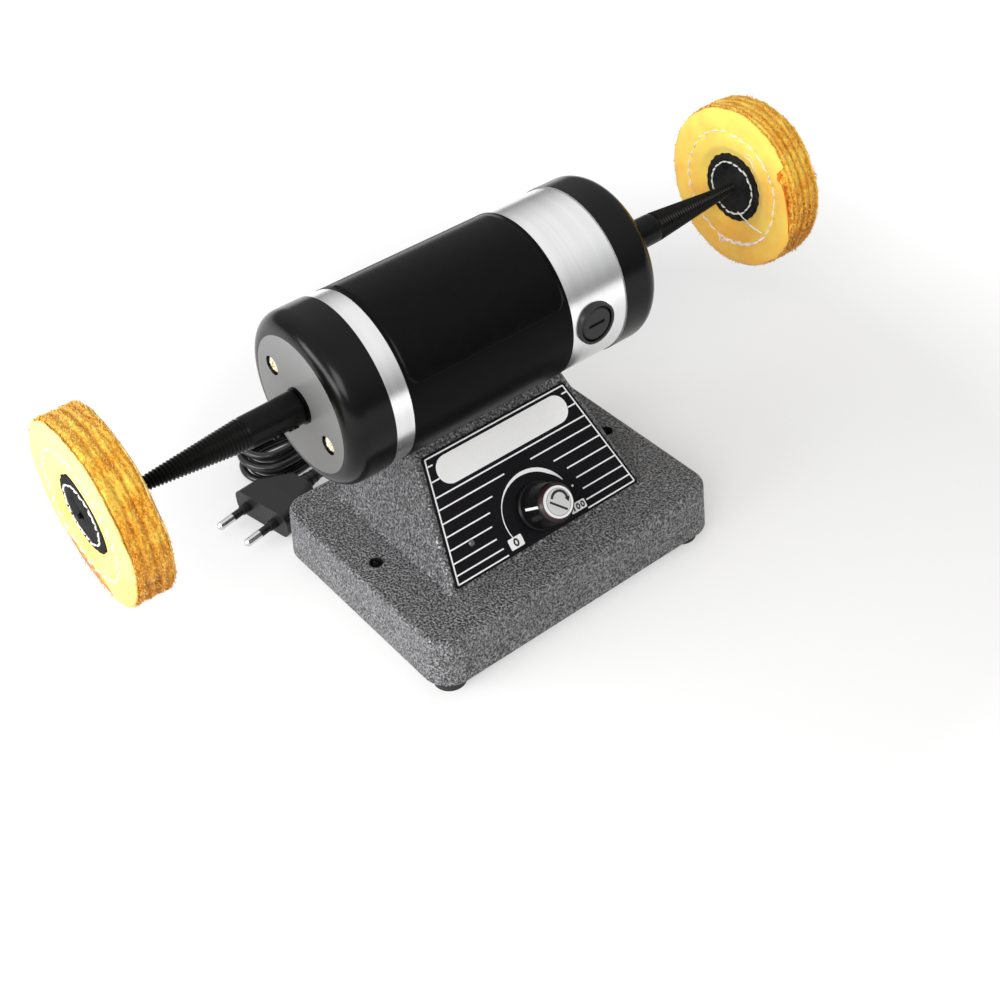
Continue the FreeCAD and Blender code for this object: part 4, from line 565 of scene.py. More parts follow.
def hank_run(lane, heading, low, high):
    """Points along one run of the hank: drawn in at the waist, and climbing between layers."""
    begin, finish = (HANK_RIGHT, HANK_LEFT) if heading < 0 else (HANK_LEFT, HANK_RIGHT)
    centre = HANK_START.y + HANK_OUTER
    points = []
    for share in shares(RUN_POINTS):
        drawn = HANK_DRAW * (0.5 - 0.5 * cos(tau * share))
        climb = low + (high - low) * (0.5 - 0.5 * cos(pi * share))
        points.append(Vector((begin + (finish - begin) * share,
                              centre + lane - copysign(drawn, lane),
                              HANK_START.z + HANK_RISE * climb)))
    return points


def hank_fold(start_lane, end_lane, heading, layer):
    """Points round a half turn at an end of the hank, without its two ends."""
    middle = HANK_START.y + HANK_OUTER + (start_lane + end_lane) / 2
    spread = abs(start_lane - end_lane) / 2 / cos(pi / (FOLD_POINTS - 1) / 2)
    outward = copysign(1, end_lane - start_lane)
    end = HANK_LEFT if heading < 0 else HANK_RIGHT
    points = []
    for step in range(1, FOLD_POINTS - 1):
        turn = pi * step / (FOLD_POINTS - 1)
        points.append(Vector((end + heading * spread * sin(turn),
                              middle - outward * spread * cos(turn),
                              HANK_START.z + HANK_RISE * layer)))
    return points


def hank_points():
    points = []
    for coil in range(HANK_COILS):
        layer = coil * 2
        # The lane and direction of each run, and the layers that it starts and ends on
        runs = [(-HANK_OUTER, -1, max(layer - 1, 0), layer), (HANK_OUTER, 1, layer, layer),
                (-HANK_INNER, -1, layer, layer), (HANK_INNER, 1, layer, layer + 1),
                (-HANK_INNER, -1, layer + 1, layer + 1), (HANK_OUTER, 1, layer + 1, layer + 1)]
        for run, following in zip(runs, runs[1:] + runs[:1]):
            lane, heading, low, high = run
            points += hank_run(lane, heading, low, high)
            points += hank_fold(lane, following[0], heading, high)
    return points


def make_cord():
    route = ([Vector(point) for point in ENTRY_ROUTE] + hank_points()
             + [Vector(point) for point in TAIL_ROUTE])
    data = bpy.data.curves.new("mains_cord", "CURVE")
    data.dimensions = "3D"
    data.bevel_depth = CORD_DIAMETER / 2 * MM
    data.bevel_resolution = 5
    data.resolution_u = 6
    data.use_fill_caps = True
    spline = data.splines.new("NURBS")
    spline.points.add(len(route) - 1)
    for knot, place in zip(spline.points, route):
        knot.co = (*(place * MM), 1.0)
    spline.order_u = 3
    spline.use_endpoint_u = True
    data.materials.append(FINISHES["cord"])
    cord = new_object("mains_cord", data)
    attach(cord, "housing")
    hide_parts("cord_entry", "cord_hank", "cord_tail")


# Printed lines and figures on the control panel, each standing between two heights above it

WHITE_INK = (-0.02, 0.05)
BLACK_INK = (-0.02, 0.10)
LINE = 0.65
BORDER_BOTTOM = 49.3
BORDER_TOP = 37.5
BORDER_HEIGHT = 52.5
PILL_HALF = 35.2
PILL_LOW = 38.2
PILL_HIGH = 50.9
PILL_ROUND = 6.2
LINE_GAPS = [(49.3, PILL_HALF), (42.9, PILL_HALF), (36.3, 0.0), (31.2, 7.2), (25.4, 17.0),
             (19.8, 21.4), (14.2, 23.5), (8.6, 24.1), (3.6, 23.2)]
BOTTOM_GAP = 22.3
ARC_CENTRE = (0.17, 10.54)
ARC_RADIUS = 18.06
ARC_START = 200.0
ARC_END = 20.0
ARC_THIN = 0.42
ARC_THICK = 1.75
ZERO_BOX = (-20.1, 0.7, -12.9, 5.7)
FULL_BOX = (13.8, 0.9, 22.3, 5.0)
MARK_DOT = (20.0, 12.0, 0.55)


def line(start, end, heights=WHITE_INK, width=LINE):
    start = Vector(start)
    end = Vector(end)
    side = (end - start).orthogonal().normalized() * (width / 2)
    return extruded([start + side, start - side, end - side, end + side], *heights)


def rounded_box(left, low, right, high, radius, steps=8):
    outline = []
    corners = [(right - radius, high - radius, 0), (left + radius, high - radius, 90),
               (left + radius, low + radius, 180), (right - radius, low + radius, 270)]
    for across, rise, first in corners:
        for step in range(steps + 1):
            turn = radians(first + 90 * step / steps)
            outline.append((across + radius * cos(turn), rise + radius * sin(turn)))
    return extruded(outline, *WHITE_INK)


def arc_strip(centre, radius, start, end, width, heights, steps):
    """A printed arc whose width, a function of the share along it, lies inside its outer circle."""
    points = []
    for share in shares(steps + 1):
        turn = radians(start + (end - start) * share)
        for reach in (radius, radius - width(share)):
            for out in heights:
                points.append((centre[0] + reach * cos(turn),
                               centre[1] + reach * sin(turn), out))
    return points, bar_faces(steps + 1)


def nought(across, rise, half_width, half_height, width, steps=28):
    points = []
    for turn in turns(steps):
        for shrink in (0.0, width):
            for out in BLACK_INK:
                points.append((across + (half_width - shrink) * cos(turn),
                               rise + (half_height - shrink) * sin(turn), out))
    return points, [other_side(face) for face in bar_faces(steps, closed=True)]


def crescent_width(share):
    """Thin at first, swelling to its widest, and drawn to a point at the end."""
    swell = clamped((share - 0.30) / 0.35)
    point = 1.0 if share < 0.86 else (1.0 - share) / 0.14
    return ARC_THIN + (ARC_THICK - ARC_THIN) * swell * point


def panel_piece(name, parts, finish, body):
    points, faces = joined(parts)
    mesh_piece(name, ([panel_point(*point) for point in points], faces), finish, body, smooth=False)


def make_panel_print():
    white = []
    for rise, gap in LINE_GAPS:
        edge = BORDER_BOTTOM - (BORDER_BOTTOM - BORDER_TOP) * rise / BORDER_HEIGHT
        if gap:
            white += [line((gap * side, rise), (edge * side, rise)) for side in (-1, 1)]
        else:
            white.append(line((-edge, rise), (edge, rise)))
    for side in (-1, 1):
        foot = (BORDER_BOTTOM * side, 0.0)
        white += [line(foot, (BORDER_TOP * side, BORDER_HEIGHT)),
                  line((BOTTOM_GAP * side, 0.0), foot)]
    across, rise, half = MARK_DOT
    white += [line((-BORDER_TOP, BORDER_HEIGHT), (BORDER_TOP, BORDER_HEIGHT)),
              rounded_box(-PILL_HALF, PILL_LOW, PILL_HALF, PILL_HIGH, PILL_ROUND),
              arc_strip(ARC_CENTRE, ARC_RADIUS, ARC_START, ARC_END, crescent_width, WHITE_INK, 72),
              rounded_box(*ZERO_BOX, 0.6, 4), rounded_box(*FULL_BOX, 0.6, 4),
              rounded_box(across - half, rise - half, across + half, rise + half, half, 5)]
    panel_piece("panel_print", white, "print", "housing")

    left, low, right, high = ZERO_BOX
    black = [nought((left + right) / 2, (low + high) / 2, 1.35, 1.85, 0.85)]
    left, low, right, high = FULL_BOX
    middle = (low + high) / 2
    one = left + 1.9
    black.append(line((one, middle - 1.35), (one, middle + 1.35), BLACK_INK, 0.75))
    black += [nought(one - 0.1 + 2.5 * step, middle, 1.08, 1.45, 0.75) for step in (1, 2)]
    panel_piece("panel_figures", black, "ink", "housing")


# Speed knob: a ribbed cone on a skirt, its pointer and the printed marks of its silver disc

KNOB_PROFILE = [(9.0, 1.0), (10.4, 1.0), (10.8, 1.3), (10.8, 3.1), (10.5, 3.5), (9.95, 3.7),
                (9.8, 4.2), (9.5, 8.0), (9.2, 12.0), (9.0, 15.4), (8.9, 16.6), (8.7, 17.1),
                (8.2, 17.5), (7.5, 18.6), (7.3, 18.8), (7.0, 18.75), (6.95, 18.2)]
PROFILE_STEP = 0.5
KNOB_RIBS = 24
KNOB_COLUMNS = 192
BEVEL_LOW = 17.3
KNOB_RIB_DEPTH = 0.06
KNOB_RIB_LOW = 4.4
KNOB_RIB_HIGH = 15.8
POINTER_TURN = radians(167.0)
POINTER_HALF = 0.55
POINTER_FLANK = [(7.0, 9.59), (9.5, 9.39), (12.0, 9.2), (15.4, 9.0), (16.8, 8.92)]
DISC_INK = (DISC_FACE - 0.02, DISC_FACE + 0.05)
ARROW_CENTRE = (0.9, 12.7)
ARROW_END = -12.0
ARROW_REACH = 3.8
ARROW_HEAD = [Vector((-1.3, 0.4)), Vector((-0.2, -1.9)), Vector((1.3, 0.2))]


def knob_point(radius, turn, out):
    return panel_point(radius * cos(turn), KNOB_RISE + radius * sin(turn), out)


def denser(profile):
    """The same outline with its long runs cut into short ones."""
    points = []
    for (radius, out), (next_radius, next_out) in zip(profile, profile[1:]):
        length = hypot(next_radius - radius, next_out - out)
        pieces = max(1, ceil(length / PROFILE_STEP))
        for index in range(pieces):
            share = index / pieces
            points.append((radius + (next_radius - radius) * share, out + (next_out - out) * share))
    return points + [profile[-1]]


def make_knob():
    points = []
    rows = denser(KNOB_PROFILE)
    for radius, out in rows:
        fade = clamped(min(out - KNOB_RIB_LOW, KNOB_RIB_HIGH - out) / 0.8)
        for turn in turns(KNOB_COLUMNS):
            groove = max(0.0, cos(turn * KNOB_RIBS) - 0.55) / 0.45
            points.append(knob_point(radius - KNOB_RIB_DEPTH * fade * groove ** 0.7, turn, out))
    knob = mesh_piece("knob_moulding", (points, ring_faces(len(rows), KNOB_COLUMNS, capped=True)),
                      ["knob", "bevel"], "knob")
    for face in knob.data.polygons[:(len(rows) - 1) * KNOB_COLUMNS]:
        row = face.index // KNOB_COLUMNS
        if min(rows[row][1], rows[row + 1][1]) > BEVEL_LOW:
            face.material_index = 1
    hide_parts("knob_body")

    across = knob_point(1, POINTER_TURN + pi / 2, 0) - knob_point(0, 0, 0)
    points = [knob_point(radius + lift, POINTER_TURN, out) + across * side
              for out, radius in POINTER_FLANK for lift in (-0.3, 0.12)
              for side in (-POINTER_HALF, POINTER_HALF)]
    pointer = (points, bar_faces(len(POINTER_FLANK)))
    mesh_piece("knob_pointer", pointer, "print", "knob", smooth=False)

    turn = radians(ARROW_END)
    tip = Vector((ARROW_CENTRE[0] + ARROW_REACH * cos(turn),
                  ARROW_CENTRE[1] + ARROW_REACH * sin(turn)))
    panel_piece("knob_disc_marks", [
        line((-3.9, 13.7), (2.3, 7.4), DISC_INK, 0.95),
        arc_strip(ARROW_CENTRE, 4.3, 152.0, ARROW_END, lambda share: 1.2, DISC_INK, 28),
        extruded([tip + corner for corner in ARROW_HEAD], *DISC_INK)], "ink", "knob")


# Screw spindles: a collar, a relief and a tapering thread that ends in a pilot

SPINDLE_START = 80.8
COLLAR_ROOT = 7.2
COLLAR_END = 6.8
RELIEF_WIDTH = 1.0
RELIEF_DEPTH = 0.6
CONE_END = 171.5
PILOT_RADIUS = 1.1
SPINDLE_TIP = 177.2
THREAD_PITCH = 1.6
THREAD_DEPTH = 0.62
SPINDLE_COLUMNS = 72
LEFT_COLLAR = 105.4
RIGHT_COLLAR = 109.0


def steps_along(place, end, step):
    """Places from the first one on, a step apart, short of the end."""
    places = []
    while place < end:
        places.append(place)
        place += step
    return places


def spindle_stations(collar_end):
    relief_end = collar_end + RELIEF_WIDTH
    return ([SPINDLE_START, SPINDLE_START + 0.01, SPINDLE_START + 0.5]
            + steps_along(SPINDLE_START + 2.0, collar_end - 0.6, 2.0)
            + [collar_end - 0.5, collar_end - 0.12, collar_end, collar_end + 0.02,
               relief_end - 0.02]
            + steps_along(relief_end, CONE_END, THREAD_PITCH / 10)
            + [CONE_END, SPINDLE_TIP - 1.0, SPINDLE_TIP - 0.45, SPINDLE_TIP - 0.12, SPINDLE_TIP])


def spindle_radius(along, turn, collar_end, side):
    if along <= collar_end:
        inward = along - SPINDLE_START
        radius = COLLAR_ROOT + (COLLAR_END - COLLAR_ROOT) * inward / (collar_end - SPINDLE_START)
        return radius - (max(0.0, 0.4 - inward) + max(0.0, 0.3 - (collar_end - along))) * 0.8
    start = collar_end + RELIEF_WIDTH
    if along < start:
        return COLLAR_END - RELIEF_DEPTH
    if along >= SPINDLE_TIP - 0.5:
        return PILOT_RADIUS * (0.25 + 0.75 * sqrt(max(0.0, (SPINDLE_TIP - along) / 0.5)))
    if along >= CONE_END:
        return PILOT_RADIUS
    crest = COLLAR_END + (PILOT_RADIUS - COLLAR_END) * (along - start) / (CONE_END - start)
    phase = (along / THREAD_PITCH - side * turn / tau) % 1.0
    root = clamped((1.0 - abs(2.0 * phase - 1.0)) * 1.35 - 0.2)
    return crest - min(THREAD_DEPTH, crest * 0.3) * root


def make_spindle(name, side, collar_end):
    stations = spindle_stations(collar_end)
    points = [motor_point(along * side, spindle_radius(along, turn, collar_end, side), turn)
              for along in stations for turn in turns(SPINDLE_COLUMNS)]
    faces = flipped(ring_faces(len(stations), SPINDLE_COLUMNS, capped=True), side < 0)
    spindle = mesh_piece(name + "_threaded_spindle", (points, faces), "blackened", "rotor")
    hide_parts(name + "_spindle")


# Cross-head screws of the end covers

SCREW_CIRCLE = 20.2
SCREW_ANGLE = 29.0
SCREW_TOP = 79.3
SCREW_HEAD = 3.85
SCREW_HEIGHT = 2.0
SCREW_DOME = 0.8
SCREW_ROWS = 22
SCREW_COLUMNS = 96
CROSS_REACH = 2.3
CROSS_HALF = 0.52
CROSS_DEPTH = 1.3


def screw_head(side, angle, twist):
    """A domed head with a cross recess, turned by twist about the screw's own axis."""
    centre = motor_point(SCREW_TOP * side, SCREW_CIRCLE, radians(angle))
    points = []
    for row in range(SCREW_ROWS + 1):
        radius = SCREW_HEAD * row / SCREW_ROWS
        for turn in turns(SCREW_COLUMNS):
            arms = sorted((abs(radius * cos(turn)), abs(radius * sin(turn))))
            cut = clamped(min((CROSS_HALF - arms[0]) / 0.15, (CROSS_REACH - arms[1]) / 0.35))
            out = -SCREW_DOME * (radius / SCREW_HEAD) ** 2.2 - CROSS_DEPTH * cut
            points.append(centre + Vector((out * side, radius * cos(turn + twist),
                                           radius * sin(turn + twist))))
    for turn in turns(SCREW_COLUMNS):
        points.append(centre + Vector((-SCREW_HEIGHT * side, SCREW_HEAD * cos(turn),
                                       SCREW_HEAD * sin(turn))))
    foot = (SCREW_ROWS + 1) * SCREW_COLUMNS
    faces = ring_faces(SCREW_ROWS + 2, SCREW_COLUMNS) + [tuple(range(foot, foot + SCREW_COLUMNS))]
    return points, flipped(faces, side < 0)


def make_cover_screws():
    heads = [screw_head(side, SCREW_ANGLE + half_turn, twist)
             for side in (-1, 1) for half_turn, twist in ((0, 0.3), (180, 0.9))]
    screws = mesh_piece("cross_head_screws", joined(heads), "brass", "housing")
    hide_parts("cover_screws")


# Cloth buffs: a frayed rim of many plies, a cut face ply on each side, felt discs and stitching.
# A face is turned toward the motor (-1) or away from it (1), and the buff is on the left side (-1)
# or the right one (1).

BUFF_MIDDLE = 167.0
BUFF_HALF = 9.0
BUFF_RADIUS = 38.6
DISC_RADIUS = 16.3
WAIST_DROP = 2.1
SHOULDER = 21.0
STITCH_RADIUS = 27.2
INNER_STITCH_RADIUS = 12.7
PLY = 0.7
PLY_GAP = 0.15
BUFF_COLUMNS = 360
RIM_ROWS = 37
RIM_INSET = 1.1
PLY_ROWS = 34
PLY_HOLE = 12.0
FELT_ROWS = 14
FELT_COLUMNS = 180
FELT_HOLE = 1.5
FELT_LIFTS = (1.25, 0.1)
FELT_SEAM = BUFF_HALF - WAIST_DROP + 1.05
UNDER_RADII = [DISC_RADIUS - 2.0, 20.0, 26.0, 31.0, 35.0]


def wobble(along, turn, scale, seed):
    """Smooth noise round the motor's axis, between about -1 and 1."""
    return noise.noise(Vector((along * 0.2 + seed * 7.3, cos(turn) * scale,
                               sin(turn) * scale + seed)))


def dent(distance, width):
    return exp(-(distance / width) ** 2)


def smooth_step(share):
    return share * share * (3 - 2 * share)


def between(table, turn):
    """Value of an (angle, value) table in degrees that runs once round, joined smoothly."""
    angle = degrees(turn) % 360
    for (first, low), (second, high) in zip(table, table[1:] + [(table[0][0] + 360, table[0][1])]):
        if first <= angle < second:
            return low + (high - low) * smooth_step((angle - first) / (second - first))
    return table[-1][1]


def buff_point(side, along, radius, turn):
    return motor_point((BUFF_MIDDLE + along) * side, radius, turn)


def face_seed(seed, toward):
    return seed if toward < 0 else seed + 11


def face_height(radius, turn, seed):
    """How far a buff's face stands out from its middle plane."""
    shoulder = clamped((radius - DISC_RADIUS) / (SHOULDER - DISC_RADIUS))
    height = BUFF_HALF - WAIST_DROP * (1 - smooth_step(shoulder))
    height -= dent(radius - STITCH_RADIUS, 1.3) * (0.45 + 0.3 * cos(turn * 30))
    height += 0.28 * wobble(radius * 0.4, turn, 2.2, seed) * min(1.0, radius / BUFF_RADIUS)
    height += 0.16 * dent(radius - STITCH_RADIUS, 4.5) * wobble(radius * 0.2, turn, 9.0, seed + 3)
    if radius > 34:
        height -= 0.09 * (radius - 34) ** 2 * (0.6 + 0.5 * wobble(0, turn, 3.0, seed + 5))
    return height


def rim_radius(along, turn, valleys, seed):
    """The rim's uneven radius, worn into valleys between its bundles of plies."""
    sway = 0.7 * wobble(1.0, turn, 2.6, seed + 1)
    radius = BUFF_RADIUS + 0.55 * wobble(along * 3.0, turn, 5.0, seed + 2)
    for place, depth, width in valleys:
        radius -= depth * dent(along - place - sway, width)
    return radius


def under_rows(side, toward, seed):
    """Rows of points just under a face's outermost ply, in the order that the rim's rows run."""
    points = []
    for radius in UNDER_RADII[::-toward]:
        for turn in turns(BUFF_COLUMNS):
            height = face_height(radius, turn, face_seed(seed, toward)) - PLY - PLY_GAP
            points.append(buff_point(side, height * toward, radius, turn))
    return points


def make_rim(name, side, valleys, seed):
    """The pile of cut plies seen edge on, with the faces under its two outermost plies."""
    edge = []
    for share in shares(RIM_ROWS):
        along = -BUFF_HALF + RIM_INSET + (BUFF_HALF * 2 - RIM_INSET * 2) * share
        for turn in turns(BUFF_COLUMNS):
            radius = rim_radius(along, turn, valleys, seed)
            radius += 0.5 * wobble(along * 8.0, turn, 26.0, seed + 4)
            radius -= 1.2 * (abs(2 * share - 1) ** 8)
            edge.append(buff_point(side, along, radius, turn))
    points = under_rows(side, -1, seed) + edge + under_rows(side, 1, seed)
    faces = ring_faces(RIM_ROWS + 2 * len(UNDER_RADII), BUFF_COLUMNS, closed=True)
    return mesh_piece(name + "_buff_plies", (points, flipped(faces, side < 0)), "pile", "rotor")


def make_ply(name, side, toward, edge_table, finish, seed):
    """The outermost ply of one face: a thin cloth disc whose cut edge follows a table of radii."""
    points = []
    for lift in (0.0, -PLY):
        for share in shares(PLY_ROWS):
            for turn in turns(BUFF_COLUMNS):
                edge = between(edge_table, turn) + 0.3 * wobble(2.0, turn, 12.0, seed + 6)
                edge += 0.14 * wobble(5.0, turn, 45.0, seed + 8)
                radius = PLY_HOLE + (edge - PLY_HOLE) * share
                height = face_height(radius, turn, face_seed(seed, toward)) + lift
                points.append(buff_point(side, height * toward, radius, turn))
    faces = flipped(slab_faces(PLY_ROWS, BUFF_COLUMNS), side * toward < 0)
    return mesh_piece(name, (points, faces), finish, "rotor")


def make_disc(name, side, toward, seed):
    """A ragged black felt disc, sewn down over the spindle hole."""
    points = []
    for lift in FELT_LIFTS:
        for share in shares(FELT_ROWS):
            droop = 0.5 * max(0.0, share - 0.9) / 0.1 if lift > 1 else 0.0
            for turn in turns(FELT_COLUMNS):
                edge = (DISC_RADIUS + 0.25 * wobble(0.0, turn, 9.0, seed)
                        + 0.2 * cos(turn * 23 + seed))
                radius = FELT_HOLE + (edge - FELT_HOLE) * share
                puff = 0.25 * wobble(radius * 0.5, turn, 3.0, seed + 2)
                dip = 0.35 * dent(radius - INNER_STITCH_RADIUS, 0.9)
                height = BUFF_HALF - WAIST_DROP + lift + puff - dip - droop
                points.append(buff_point(side, height * toward, radius, turn))
    faces = flipped(slab_faces(FELT_ROWS, FELT_COLUMNS), side * toward < 0)
    return mesh_piece(name, (points, faces), "felt", "rotor")


def stitch_ring(side, toward, radius, count, share, thickness, height_of, chance, jitter):
    """Short loops of sewing thread lying along a circle on a face."""
    stitches = []
    for index in range(count):
        start = tau * (index + chance.uniform(-0.08, 0.08)) / count
        length = tau / count * share * chance.uniform(0.85, 1.1)
        lean = chance.uniform(-jitter, jitter)
        drift = chance.uniform(-jitter, jitter)
        path = []
        for part in shares(7):
            turn = start + length * part
            here = radius + lean * (part - 0.5) + drift
            height = height_of(here, turn) + thickness * (0.75 * sin(pi * part) - 0.15)
            path.append(buff_point(side, height * toward, here, turn))
        stitches.append(tube(path, thickness * chance.uniform(0.85, 1.1), 7, 0.55))
    return joined(stitches)


def make_stitches(name, side, seed):
    chance = random.Random(seed)
    rings = []
    for toward in (-1, 1):
        def cloth_height(radius, turn, cloth_seed=face_seed(seed, toward)):
            return face_height(radius, turn, cloth_seed)

        rings += [stitch_ring(side, toward, STITCH_RADIUS, 30, 0.84, 0.42,
                              cloth_height, chance, 0.5),
                  stitch_ring(side, toward, INNER_STITCH_RADIUS, 24, 0.98, 0.46,
                              lambda radius, turn: FELT_SEAM, chance, 0.45)]
    mesh_piece(name + "_buff_stitching", joined(rings), "thread", "rotor")


def make_fibres(name, side, count, valleys, seed):
    """Loose fibre ends that stand out of the rim, each a closed bent spike."""
    chance = random.Random(seed + 100)
    groups = {"deep": [], "pale": []}
    faces = flipped([(2, 1, 0), (0, 1, 4, 3), (1, 2, 5, 4), (2, 0, 3, 5), (3, 4, 6), (4, 5, 6),
                     (5, 3, 6)], side < 0)
    for index in range(count):
        turn = chance.uniform(0, tau)
        along = chance.uniform(-BUFF_HALF + 0.9, BUFF_HALF - 0.9)
        radius = rim_radius(along, turn, valleys, seed) - 0.5
        length = chance.uniform(0.7, 1.7)
        lean_along = chance.uniform(-0.9, 0.9)
        lean_round = chance.uniform(-1.3, 1.3) / radius
        thick = chance.uniform(0.10, 0.17)
        spike = []
        for share, width in ((0.0, thick), (0.55, thick * 0.8)):
            for corner in turns(3):
                spike.append(buff_point(
                    side, along + lean_along * share ** 1.5 + width * cos(corner),
                    radius + length * share,
                    turn + lean_round * share ** 1.5 + width * sin(corner) / radius))
        spike.append(buff_point(side, along + lean_along, radius + length * 0.85,
                                turn + lean_round))
        groups["deep" if index % 3 else "pale"].append((spike, faces))
    for shade, spikes in groups.items():
        mesh_piece(name + "_buff_" + shade + "_fibres", joined(spikes), "fibre_" + shade, "rotor",
                   smooth=False)


LEFT_SEED = 5
RIGHT_SEED = 31
LEFT_FIBRES = 9000
RIGHT_FIBRES = 8000
LEFT_VALLEYS = [(-5.2, 0.4, 0.7), (-1.6, 0.9, 0.8), (2.6, 0.6, 0.8), (7.2, 0.7, 0.4)]
RIGHT_VALLEYS = [(-7.0, 1.3, 0.35), (-4.6, 0.9, 0.5), (-1.4, 2.4, 0.6), (2.6, 2.0, 0.6),
                 (6.0, 1.2, 0.5)]
PLAIN_EDGE = [(0, 38.3), (70, 38.0), (150, 38.4), (230, 38.1), (300, 38.4)]
LEFT_EDGE = [(0, 38.3), (90, 38.1), (180, 38.3), (235, 38.2), (250, 37.8), (256, 30.2), (263, 28.6),
             (285, 28.4), (303, 28.9), (313, 31.5), (322, 38.0)]
RIGHT_EDGE = [(0, 38.3), (70, 38.0), (120, 38.2), (143, 38.0), (146, 33.2), (151, 34.6),
              (165, 34.6), (187, 36.6), (200, 38.2), (280, 38.1)]
# On the right buff's inner face, in radius and degrees: the tail also with its distance from the
# buff's middle plane, and the tears with their height above the cloth
TAIL = [(11.5, -116.0, 8.5), (16.6, -128.0, 7.9), (19.5, -137.0, 9.3), (25.6, -147.0, 9.5)]
WISPS = [((21.3, 112.0), (22.6, 122.0), (20.6, 134.0)),
         ((22.8, 110.0), (24.6, 119.0), (23.2, 129.0)),
         ((26.2, 278.5), (27.9, 276.0), (30.0, 275.5)),
         ((26.8, 280.0), (28.8, 277.5), (29.4, 272.5)),
         ((27.4, 281.0), (29.6, 279.0), (31.0, 277.0))]
SPLIT = [(36.6, 144.0, -0.3), (34.4, 146.5, 0.0), (33.0, 150.0, 0.05), (34.3, 154.0, 0.0),
         (34.9, 161.0, 0.0), (35.1, 168.0, 0.0), (35.7, 176.0, 0.0), (36.4, 184.0, -0.05),
         (37.1, 191.0, -0.1), (37.8, 197.0, -0.3)]
NOTCH = [(35.6, 146.0, -0.2), (34.2, 149.0, 0.0), (33.6, 152.0, -0.1)]


def make_buff(name, side, seed, valleys, inner_edge, outer_edge, fibres):
    face = name + "_face"
    body = make_rim(name, side, valleys, seed)
    make_ply(name + "_buff_inner_ply", side, -1, inner_edge, face, seed)
    make_ply(name + "_buff_outer_ply", side, 1, outer_edge, face, seed)
    make_fibres(name, side, fibres, valleys, seed)
    inner = make_disc(name + "_buff_inner_disc", side, -1, seed + 1)
    make_disc(name + "_buff_outer_disc", side, 1, seed + 2)
    make_stitches(name, side, seed)
    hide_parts(name + "_buff")
    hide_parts(name + "_buff_discs")


def right_face_path(places, steps=8):
    """A smooth path over the right buff's inner face, from (radius, degrees, lift) places."""
    path = []
    for radius, angle, lift in places:
        turn = radians(angle)
        path.append(buff_point(1, -face_height(radius, turn, RIGHT_SEED) - lift, radius, turn))
    return smooth_path(path, steps)


def make_loose_threads():
    """The right buff's thread tail, the second row of stitches where it starts, and loose wisps."""
    tail = [buff_point(1, -height, radius, radians(angle)) for radius, angle, height in TAIL]
    parts = [tube(smooth_path(tail), 0.46, 8, 0.3)]
    for index in range(6):
        start = 217.0 + 10.2 * index
        parts.append(tube(right_face_path([
            (STITCH_RADIUS + 0.5, start, 0.1), (27.5, start + 4.4, 0.75),
            (STITCH_RADIUS + 0.1, start + 8.8, 0.1)], 5), 0.62, 8, 0.5))
    for wisp in WISPS:
        parts.append(tube(right_face_path([(*place, 0.35) for place in wisp]), 0.2, 6, 0.4))
    mesh_piece("right_buff_thread_tail", joined(parts), "thread", "rotor")


def make_tear():
    """The right buff's torn notch, and the split below it between the face ply and the next one."""
    mesh_piece("right_buff_torn_edge", joined([tube(right_face_path(SPLIT), 0.34, 7, 0.6),
                                               tube(right_face_path(NOTCH), 0.75, 9, 0.7)]),
               "tear", "rotor")


# Label film on the motor's sleeve: a bare gloss-black patch with rounded corners

SLEEVE_RADIUS = 37.65
LABEL_LEFT = -49.4
LABEL_RIGHT = 29.0
LABEL_LOW = radians(160.0)
LABEL_HIGH = radians(62.0)
LABEL_ROUND = 5.0
LABEL_ROWS = 64
LABEL_COLUMNS = 40


def make_label():
    points = []
    length = (LABEL_LOW - LABEL_HIGH) * SLEEVE_RADIUS
    for lift in (0.07, 0.01):
        for row in range(LABEL_ROWS + 1):
            place = length * row / LABEL_ROWS
            short = max(0.0, LABEL_ROUND - min(place, length - place))
            inset = LABEL_ROUND - sqrt(LABEL_ROUND ** 2 - short ** 2)
            for share in shares(LABEL_COLUMNS + 1):
                along = LABEL_LEFT + inset + (LABEL_RIGHT - LABEL_LEFT - inset * 2) * share
                points.append(motor_point(along, SLEEVE_RADIUS + lift,
                                          LABEL_LOW - place / SLEEVE_RADIUS))
    width = LABEL_COLUMNS + 1
    size = (LABEL_ROWS + 1) * width
    faces = []
    for row in range(LABEL_ROWS):
        for column in range(LABEL_COLUMNS):
            here = row * width + column
            top = (here, here + 1, here + width + 1, here + width)
            faces += [top, other_side([size + index for index in top])]
    for row in range(LABEL_ROWS):
        for here, flip in ((row * width, False), (row * width + LABEL_COLUMNS, True)):
            faces += flipped([(here, here + width, size + here + width, size + here)], flip)
    for column in range(LABEL_COLUMNS):
        for here, flip in ((column, False), (LABEL_ROWS * width + column, True)):
            faces += flipped([(here, here + 1, size + here + 1, size + here)], flip)
    mesh_piece("motor_label_film", (points, faces), "label", "housing")


# Floor, world and lights

FLOOR_REACH = 4.0
FLOOR_COLOUR = 0.62
FLOOR_GLOW = 0.38
BACKDROP_GLOW = 0.85
GLOW_MIDDLE = (0.05, 0.0, 0.0)
GLOW_NEAR = 0.20
GLOW_FAR = 0.45


def light_path(tree, *rays):
    """One for the kinds of ray named, and zero for the rest."""
    path = add_node(tree, "LightPath")
    flags = [path.outputs["Is " + ray + " Ray"] for ray in rays]
    seen = flags[0]
    for flag in flags[1:]:
        seen = calculated(tree, "MAXIMUM", seen, flag)
    return seen


